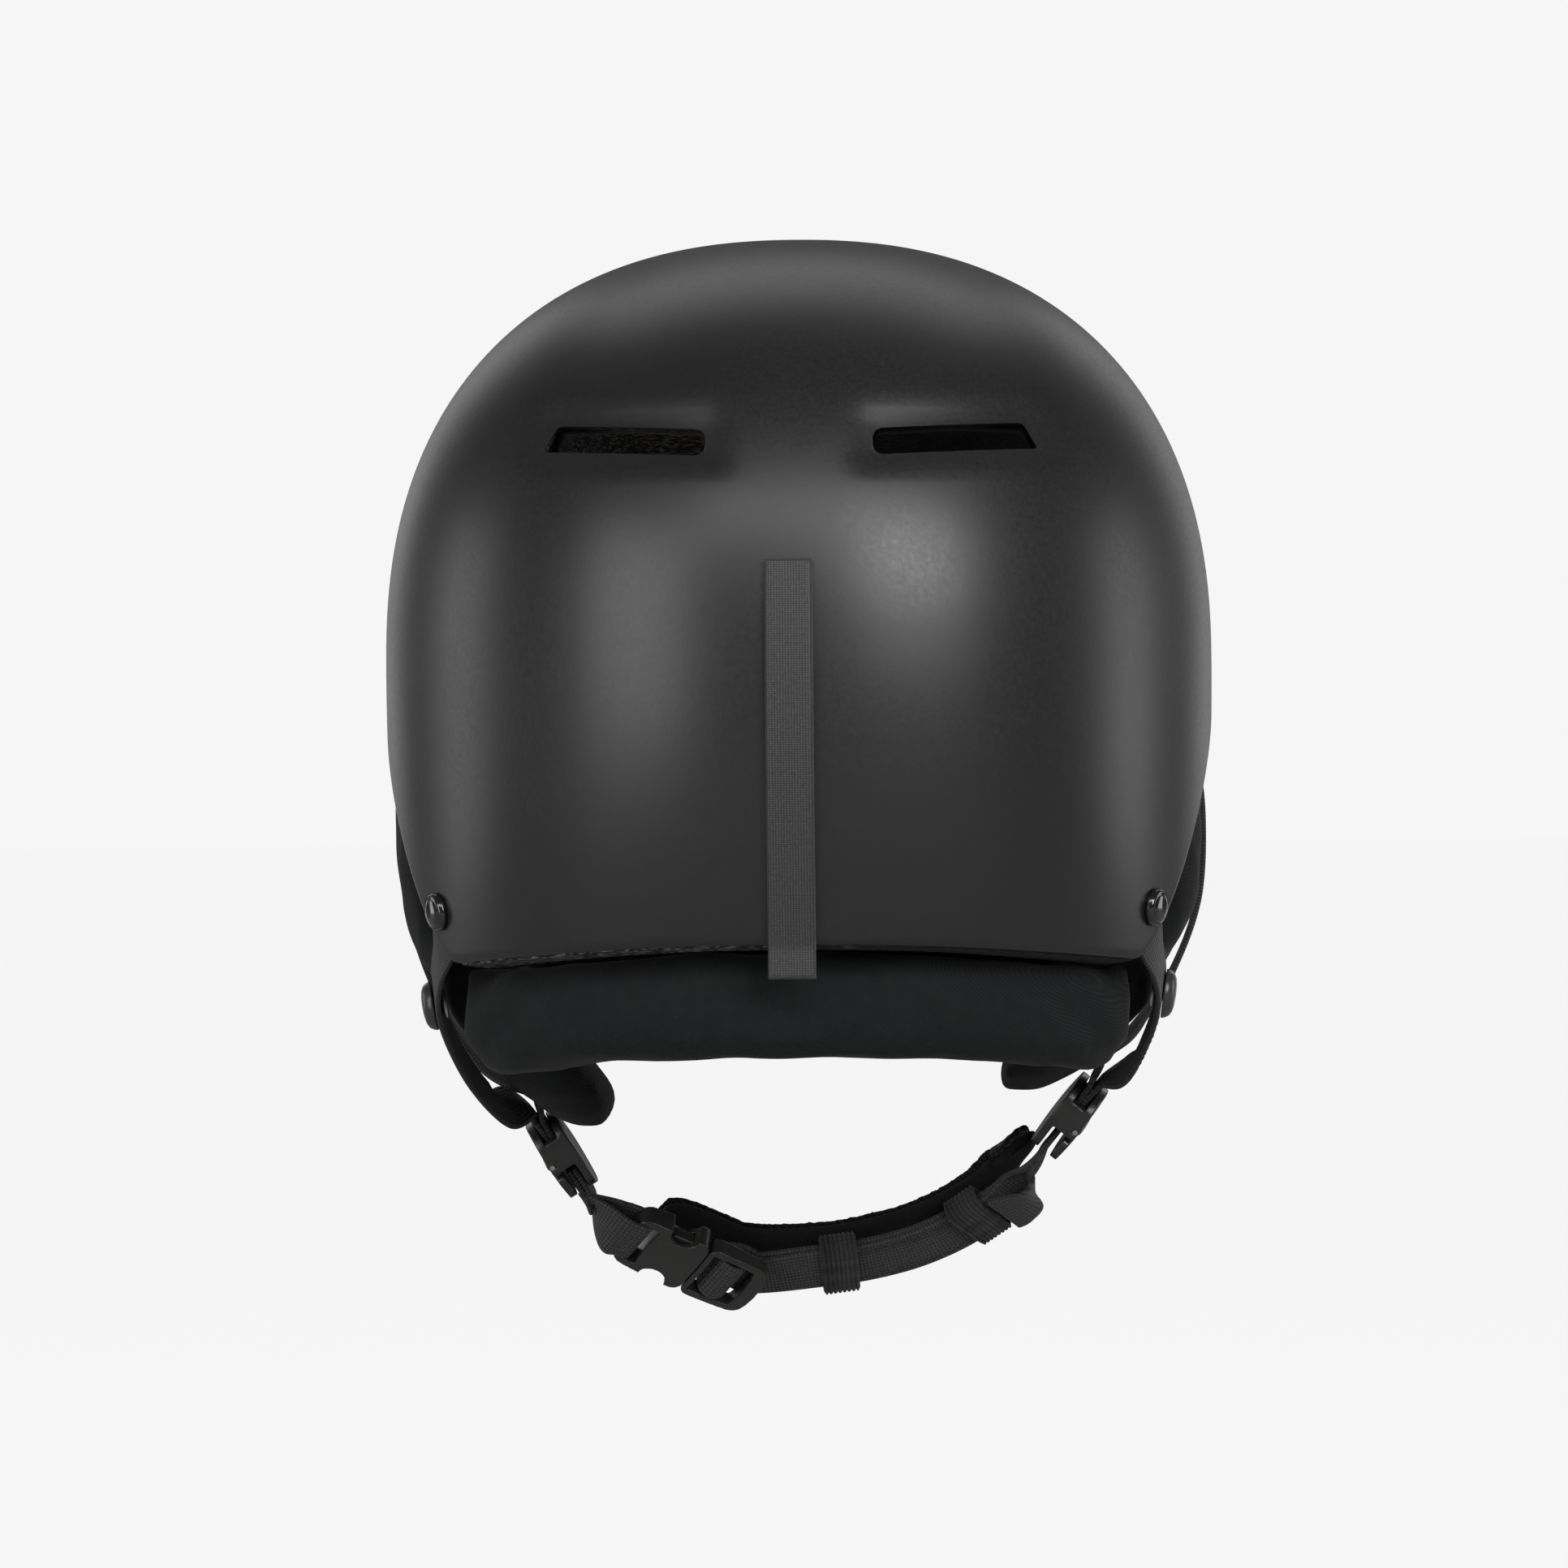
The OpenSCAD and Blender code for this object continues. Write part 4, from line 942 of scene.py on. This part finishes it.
def strap_layout(kind, side):
    """Points and width directions of one strap, on the left-hand side."""
    spot = rivet_spots[kind]
    ways, wides, inner_run, level = routes[kind]
    normal = shell_normal(-spot[0], spot[1])
    inner_wide = -unit(np.cross(normal, strap_point(*spot, 1) - strap_point(*spot, -1)))
    points = [strap_point(*spot, s) for s in (-web_w / 2, 0, inner_run)]
    points += [np.array(p) for p in ways[side]]
    points += [in_divider(side, -divider_l / 2 - 7, level * 2.3),
               in_divider(side, -divider_l / 2, level * branch_lift),
               in_divider(side, 1, level * branch_lift)]
    directions = [inner_wide] * 3 + [np.array(w) for w in wides] + [divider_wide[side]] * 3
    return points, directions


def gathered(run):
    """Gathers in the right rear strap, where elastic draws it in."""
    return 0.16 * math.sin(run * 2.3) if 46 < run < 78 else 0


black_web = woven_band("black_webbing", (0.01, 0.01, 0.0105), (0.065, 0.064, 0.063), 6300.0, 5200.0, 0.5)
for kind in ("rear", "front"):
    for side, hand in ((0, "left"), (1, "right")):
        points, directions = strap_layout(kind, side)
        path = curve(points, 14)
        wides = curve(directions, 14)
        if side:
            path, wides = path * flip_x, wides * flip_x
        strap = webbing(f"{kind}_strap_web_{hand}", path, wides,
                        wave=gathered if (kind, side) == ("rear", 1) else None)
        dress(strap, black_web, "helmet", [f"{kind}_strap_{hand}"])

cap_profile = [(0.2, 4.2), (2.5, 4.1), (4.4, 3.75), (5.6, 3.1), (6.2, 2.2), (6.5, 1.3), (6.4, 0.95),
               (2.0, 0.9), (2.0, -2.2)]
back_profile = [(0.2, -2.35), (3.7, -2.3), (4.0, -2.0), (3.8, -1.2), (2.1, -1.0)]
caps, backs = [], []
for side in (0, 1):
    way = [np.array(p, float) for p in routes["rear"][0][side]]
    along = unit(way[2] - way[0])
    wide = square_to(routes["rear"][1][1], along)
    place = (way[1], wide, along, np.cross(wide, along))
    if side:
        place = mirrored(*place)
    caps.append(turned("cap", cap_profile, *place))
    backs.append(turned("back", back_profile, *place))
olive_cap = moulded("dark_olive_cap", (0.028, 0.027, 0.023), (0.05, 0.048, 0.042), 0.34, 0.2,
                    700.0, 20.0, 0.03)
dress(join(caps, "snap_caps"), olive_cap, "helmet", ["ear_snaps"])
dress(join(backs, "snap_backs"), steel, "helmet", [])


# ---- Goggle strap -------------------------------------------------------------------------
# A flat elastic band down the middle of the rear, held by a stud at its top and snapped to the
# shell at its foot. It lifts away to take the band of a pair of goggles.

goggle_w, goggle_t, goggle_top, goggle_hinge, goggle_tail = 12, 2.2, 24, 14, 8
rear_rim = float(rim_z(0))


def goggle_path(count=90):
    heights = np.linspace(goggle_top, rear_rim - goggle_tail, count)
    on_shell = np.maximum(heights, rear_rim)
    middle = 0 * on_shell
    path = shell_point(middle, on_shell) + (seat_gap + goggle_t / 2) * shell_normal(middle, on_shell)
    path[:, 2] += np.minimum(0, heights - rear_rim)
    return path


elastic = woven_band("dark_elastic", (0.014, 0.0135, 0.014), (0.06, 0.057, 0.06), 11000.0, 9000.0,
                     0.12, 0.55, 0.15)
band_path = goggle_path()
band_wides = np.tile([1.0, 0, 0], (len(band_path), 1))
goggle_band = webbing("goggle_band", band_path, band_wides, goggle_w, goggle_t * 0.92)
goggle_band.data.materials.append(elastic)
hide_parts("goggle_strap_root", "goggle_strap")
hinge_y = float(shell_point(0, goggle_hinge)[1] - 1.4)
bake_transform(goggle_band)


# ---- Strap dividers -----------------------------------------------------------------------
# Two-leaf nylon dividers join the straps under each ear. The outer leaf is hinged on a steel
# pin at mid length and closes over the webbing. Every edge is rounded by the mould.

def moulded_copy(node, name, grain_mm, crown, smoothing=3):
    """A copy of a CAD node with moulded edges: evened, smoothed and crowned by a rule."""
    piece = outward(placed(name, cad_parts[node].data.copy()))
    even = piece.modifiers.new("even", "REMESH")
    even.mode = "VOXEL"
    even.voxel_size = grain_mm * MM
    soft = piece.modifiers.new("soft", "SMOOTH")
    soft.factor = 0.5
    soft.iterations = smoothing
    baked(piece)
    write_rows(piece, crown(read_rows(piece) / MM) * MM)
    shade_smooth(piece.data)
    piece.data.update()
    return piece


def softened(centre, along, across, half_along, half_across, pull, swell):
    """A rule that rounds a block's outline and crowns its faces, about its own axes."""
    up = np.cross(along, across)

    def rule(places):
        rel = places - centre
        a, b, c = rel @ along, rel @ across, rel @ up
        s = np.clip(a / half_along, -1.2, 1.2)
        t = np.clip(b / half_across, -1.2, 1.2)
        a2 = a * (1 - pull * t * t / 2)
        b2 = b * (1 - pull * s * s / 2)
        c2 = c * (1 - swell * np.clip(s * s * 0.6 + t * t * 0.4, 0, 1))
        return centre + np.outer(a2, along) + np.outer(b2, across) + np.outer(c2, up)
    return rule


nylon = moulded("satin_nylon", (0.013, 0.0122, 0.0115), (0.034, 0.032, 0.0295), 0.33, 0.15,
                800.0, 26.0, 0.12)
for side, hand in enumerate(("left", "right")):
    axes = [divider_at[side], divider_dir[side], divider_wide[side]]
    if side:
        axes = mirrored(*axes)
    shape = softened(*axes, divider_l / 2 + 1, 10.5, 0.42, 0.2)
    base = moulded_copy(f"divider_base_{hand}", f"divider_body_{hand}", 0.32, shape)
    dress(base, nylon, "helmet", [f"divider_base_{hand}"])
    flap = moulded_copy(f"divider_flap_{hand}", f"divider_leaf_{hand}", 0.3, shape)
    dress(flap, nylon, f"flap_{hand}", [f"divider_flap_{hand}"])


# ---- Buckle -------------------------------------------------------------------------------
# A side-release buckle in satin nylon. The plug has a guide tongue and two sprung arms, and
# two bars that hold the webbing. The socket has a C-shaped window on each side for the arms.

buckle_from = np.array([-48.7, 20, -152.0])
buckle_dir = unit([34.3, 12, -16.5])
buckle_wide = square_to([0, 0.71, -0.71], buckle_dir)
buckle_up = np.cross(buckle_dir, buckle_wide)
bar_t, bar_l = 3.6, 3.2


def in_buckle(along, up, across=0.0):
    return buckle_from + buckle_dir * along + buckle_wide * across + buckle_up * up


buckle_shape = softened(in_buckle(20.5, 0), buckle_dir, buckle_wide, 20.5, 10.5, 0.14, 0.26)
for node, name, body in (("buckle_female", "buckle_socket_half", "buckle_socket"),
                         ("buckle_male", "buckle_plug_half", "helmet"),
                         ("buckle_arm_upper", "plug_arm_upper", "arm_upper"),
                         ("buckle_arm_lower", "plug_arm_lower", "arm_lower")):
    half = moulded_copy(node, name, 0.32, buckle_shape)
    dress(half, nylon, body, [node])

bar_wrap = bar_t / 2 + 1.5 * seat_gap + web_t / 2
loop = [(-3.5, bar_wrap - 0.3), (1, bar_wrap + 0.1), (bar_l + 0.9, bar_wrap - 0.5), (bar_l + 2, 0),
        (bar_l + 0.9, 0.5 - bar_wrap), (1, -bar_wrap - 0.1), (-3.5, 0.3 - bar_wrap)]
leads = (3.5, divider_l / 2, divider_l / 2 + 2.5)
stub_points = ([in_divider(0, x, branch_lift) for x in leads] + [in_buckle(*p) for p in loop]
               + [in_divider(0, x, -branch_lift) for x in leads[::-1]])
stub_wides = [divider_wide[0]] * 3 + [buckle_wide] * 7 + [divider_wide[0]] * 3
stub = webbing("stub_web", curve(stub_points, 12), curve(stub_wides, 12))
stub.data.materials.append(black_web)
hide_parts("stub_webbing")
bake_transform(stub)


# ---- Chin webbing and keepers -------------------------------------------------------------
# One length of webbing runs from the right divider under the chin, round the plug's middle bar
# and back outside itself. Its end is folded and sewn, and two ribbed elastic keepers hold it.

chin_route = np.array([(58.4, 27.5, -138), (51.2, 32, -145.7), (42, 35, -152), (30, 36.5, -157.4),
                       (16, 37, -161), (2, 36, -162.8)], float)
right_wide = divider_wide[1] * flip_x
under_wide, chin_twist = np.array([0, 0.71, -0.71]), (0.6, 0.85, 1, 1, 1, 1)
chin_wides = np.array([unit(mix(right_wide, under_wide, share)) for share in chin_twist])
tail_back, load_lift = web_t + seat_gap, 6.2
tail_lift = load_lift - tail_back - 0.2
wrap = [in_buckle(*p) for p in ((40, load_lift), (33, load_lift - 0.4), (28.2, 4.2), (26.6, 1), (27.6, -2.2),
                                (30.3, -3.4), (33.2, -2), (34.4, 1), (36.4, 3.6), (41, tail_lift))]
back_way = chin_route[::-1]
back_wides = chin_wides[::-1]
back_heading = headings(back_way)
tail_way = back_way - tail_back * np.cross(back_heading, square_to(back_wides, back_heading))
tail_dir = unit(chin_route[0] - chin_route[2])
tail_out = np.cross(-tail_dir, square_to(chin_wides[1], tail_dir))
fold = [tail_way[4] + a * tail_dir + b * tail_out
        for a, b in ((6, 0.2), (10, 1.2), (12.2, 3.2), (10, 5.2), (5.5, 5), (1, 3.6))]
lead_out = 2.5
right_points = [in_divider(1, x, 0) * flip_x for x in (1.5, divider_l / 2, divider_l / 2 + lead_out)]
chin_points = right_points + list(chin_route) + wrap + list(tail_way[:5]) + fold
chin_directions = ([right_wide] * 3 + list(chin_wides) + [buckle_wide] * len(wrap)
                   + list(back_wides[:5]) + [chin_wides[1]] * len(fold))
chin_web = webbing("chin_web", curve(chin_points, 12), curve(chin_directions, 12))
dress(chin_web, black_web, "helmet", ["chin_webbing"])


keeper_room, keeper_wall = 1.3, 0.9


def keeper(index, ribs=8, length=10.0, columns=72):
    """An elastic loop round both plies, with ribs that run round it."""
    centre = mix(chin_route[index], chin_route[index + 1], 0.5)
    heading = unit(chin_route[index + 1] - chin_route[index])
    wide = square_to(mix(chin_wides[index], chin_wides[index + 1], 0.5), heading)
    through = np.cross(heading, wide)
    centre = centre + through * tail_back / 2
    inner_w, inner_t = web_w / 2 + keeper_room, 2.85
    rings = []
    turn = np.radians(np.arange(columns) * 360 / columns)
    for layer in (0, 1):
        part = []
        for k in range(ribs * 8 + 1):
            share = k / (ribs * 8)
            swell = 0.55 * (abs(math.sin(math.pi * share * ribs)) ** 0.7 - 1)
            end = min(1, 12 * min(share, 1 - share) + 0.25)
            grow = (keeper_wall + swell) * end if layer == 0 else 0.0
            x = power(np.cos(turn), 0.28) * (inner_w + grow)
            z = power(np.sin(turn), 0.45) * (inner_t + grow * 0.9)
            part.append(centre + heading * (share - 0.5) * length + np.outer(x, wide)
                        + np.outer(z, through))
        rings += part if layer == 0 else part[::-1]
    rings = np.asarray(rings)
    rows = rings.shape[0]
    faces = grid_faces(rows, columns)
    for column in range(columns):
        after = (column + 1) % columns
        faces.append(((rows - 1) * columns + column, column, after, (rows - 1) * columns + after))
    angle_uv = np.tile(np.linspace(0, 0.04, columns), (rows, 1))
    along_uv = np.tile(np.linspace(0, 0.02, rows)[:, None], (1, columns))
    return outward(new_piece("keeper", rings, faces, np.stack([angle_uv, along_uv], -1)))


def join_with_uv(pieces, name):
    """Joins pieces and keeps their UV maps."""
    bpy.ops.object.select_all(action="DESELECT")
    for piece in pieces:
        piece.select_set(True)
    bpy.context.view_layer.objects.active = pieces[0]
    bpy.ops.object.join()
    pieces[0].name = name
    return pieces[0]


rib_elastic = woven_band("ribbed_elastic", (0.007, 0.007, 0.0075), (0.04, 0.04, 0.041), 9000.0, 500.0,
                         0.12)
keepers = join_with_uv([keeper(1), keeper(4)], "elastic_loops")
dress(keepers, rib_elastic, "helmet", ["elastic_keepers"])


# ---- Chin pad -----------------------------------------------------------------------------
# A soft pad lies along the inside of the chin webbing: a smooth cover of brushed cloth on the
# strap side, and deep fleece against the skin. Its ends are rounded and sewn through.

cover_w, cover_t, fleece_w, fleece_t, fleece_gap = 16, 3, 14, 2, 0.3
keeper_t = 2 * (web_t + seat_gap / 2 + keeper_room + keeper_wall)
pad_lift = keeper_t / 2 - tail_back / 2 + 5 * seat_gap
pad_line = curve([in_divider(1, divider_l / 2 + 2.3 * lead_out, 0) * flip_x] + list(chin_route)
                 + [in_buckle(36, load_lift), in_buckle(22, 5), in_buckle(9, 4.6)], 12)
pad_directions = curve([right_wide] + list(chin_wides) + [buckle_wide] * 3, 12)


def chin_layer(name, lift, width, thick, columns):
    """One layer of the pad, set inwards from the webbing by lift."""
    heading = headings(pad_line)
    wide = square_to(pad_directions, heading)
    line = pad_line - lift * np.cross(heading, wide)
    heading = headings(line)
    wide = square_to(pad_directions, heading)
    rings = []
    for i in range(1, len(line) - 1):
        full = fullness_at(i / (len(line) - 1), 0.1)
        rings.append(ring_of(line[i], wide[i], np.cross(wide[i], heading[i]), width / 2 * full,
                             thick / 2 * full, columns))
    return outward(closed_skin(name, rings))


def pile(places):
    """Tufts of fleece, large and small."""
    return rough(places, 0.6) * 0.3 + rough(places, 1.6) * 0.22


pad_cover = chin_layer("chin_pad_cover", pad_lift + cover_t / 2, cover_w, cover_t, 40)
dress(pad_cover, brushed_black, "helmet", ["chin_pad"])
fleece_cloth = cloth("deep_fleece", (0.002, 0.002, 0.0025), (0.013, 0.014, 0.015), 200.0, 900.0,
                     0.6, 0.2, 1.0)
fleece = chin_layer("chin_pad_fleece_pile", pad_lift + cover_t + fleece_gap + fleece_t / 2, fleece_w,
                    fleece_t, 96)
finer_mesh(fleece)
shift_points(fleece, pile)
dress(fleece, fleece_cloth, "helmet", ["chin_pad_fleece"])


# ---- Sewing -------------------------------------------------------------------------------
# Black thread in zig-zag along both edges of the chin webbing, on its load ply and its tail.
# Each row is a thread swept along its own line of needle holes.

def thread_tree():
    """Sweeps a round thread along a line of needle holes."""
    tree = bpy.data.node_groups.new("sewn_thread", "GeometryNodeTree")
    for name, kind in (("Geometry", "Geometry"), ("Thickness", "Float"), ("Material", "Material")):
        tree.interface.new_socket(name, in_out="INPUT", socket_type=f"NodeSocket{kind}")
    tree.interface.new_socket("Geometry", in_out="OUTPUT", socket_type="NodeSocketGeometry")
    given = put(tree, "NodeGroupInput")
    line = put(tree, "GeometryNodeMeshToCurve", {"Mesh": given.outputs["Geometry"]})
    round_wire = put(tree, "GeometryNodeCurvePrimitiveCircle", {"Resolution": 6,
                                                                "Radius": given.outputs["Thickness"]})
    swept = put(tree, "GeometryNodeCurveToMesh", {"Curve": line.outputs[0], "Fill Caps": True,
                                                  "Profile Curve": round_wire.outputs[0]})
    real = put(tree, "GeometryNodeRealizeInstances", {"Geometry": swept.outputs[0]})
    coloured = put(tree, "GeometryNodeSetMaterial", {"Geometry": real.outputs[0],
                                                     "Material": given.outputs["Material"]})
    put(tree, "NodeGroupOutput", {"Geometry": coloured.outputs[0]})
    return tree


sewn_thread = thread_tree()
thread_black = cloth("polyester_thread", (0.025, 0.025, 0.026), (0.1, 0.1, 0.102), 900.0, 900.0,
                     0.3, 0.1, 0.6)
stitch_in, stitch_swing, stitch_step, stitch_lift, thread_r = 2.1, 1.25, 1.3, 0.1, 0.27


def sew(name, holes, thickness):
    """A thread through a row of needle holes."""
    mesh = bpy.data.meshes.new(name)
    mesh.from_pydata((np.asarray(holes) * MM).tolist(), [(i, i + 1) for i in range(len(holes) - 1)], [])
    row = placed(name, mesh)
    thread = row.modifiers.new("thread", "NODES")
    thread.node_group = sewn_thread
    sockets = {item.name: item.identifier for item in sewn_thread.interface.items_tree
               if item.in_out == "INPUT"}
    thread[sockets["Thickness"]] = thickness * MM
    thread[sockets["Material"]] = thread_black
    return baked(row)


def zigzag(path, wides, across, lift):
    """Needle holes alternating about a line at a distance across the band, on one face."""
    run = run_of(path)
    stations = np.arange(1.0, run[-1] - 1.0, stitch_step)
    heading = headings(path)
    wide = square_to(wides, heading)
    through = np.cross(heading, wide)
    pick = [np.stack([np.interp(stations, run, values[:, k]) for k in range(3)], -1)
            for values in (path, wide, through)]
    sway = np.where(np.arange(len(stations)) % 2 == 0, stitch_swing, -stitch_swing)
    return pick[0] + pick[1] * (across + sway)[:, None] + pick[2] * lift


load_path = curve(list(chin_route), 14)
load_wides = curve(list(chin_wides), 14)
tail_path = curve(list(tail_way[:5][::-1]), 14)
tail_wides = curve(list(back_wides[:5][::-1]), 14)
plies = ((tail_path, tail_wides, web_t / 2 + stitch_lift), (load_path, load_wides, -web_t / 2 - stitch_lift))
stitch_rows = []
for edge in (-1, 1):
    for path, wides, lift in plies:
        holes = zigzag(path, wides, edge * (web_w / 2 - stitch_in), lift)
        stitch_rows.append(sew("stitch", holes, thread_r))
stitches = join(stitch_rows, "chin_stitches")
dress(stitches, thread_black, "helmet", [])
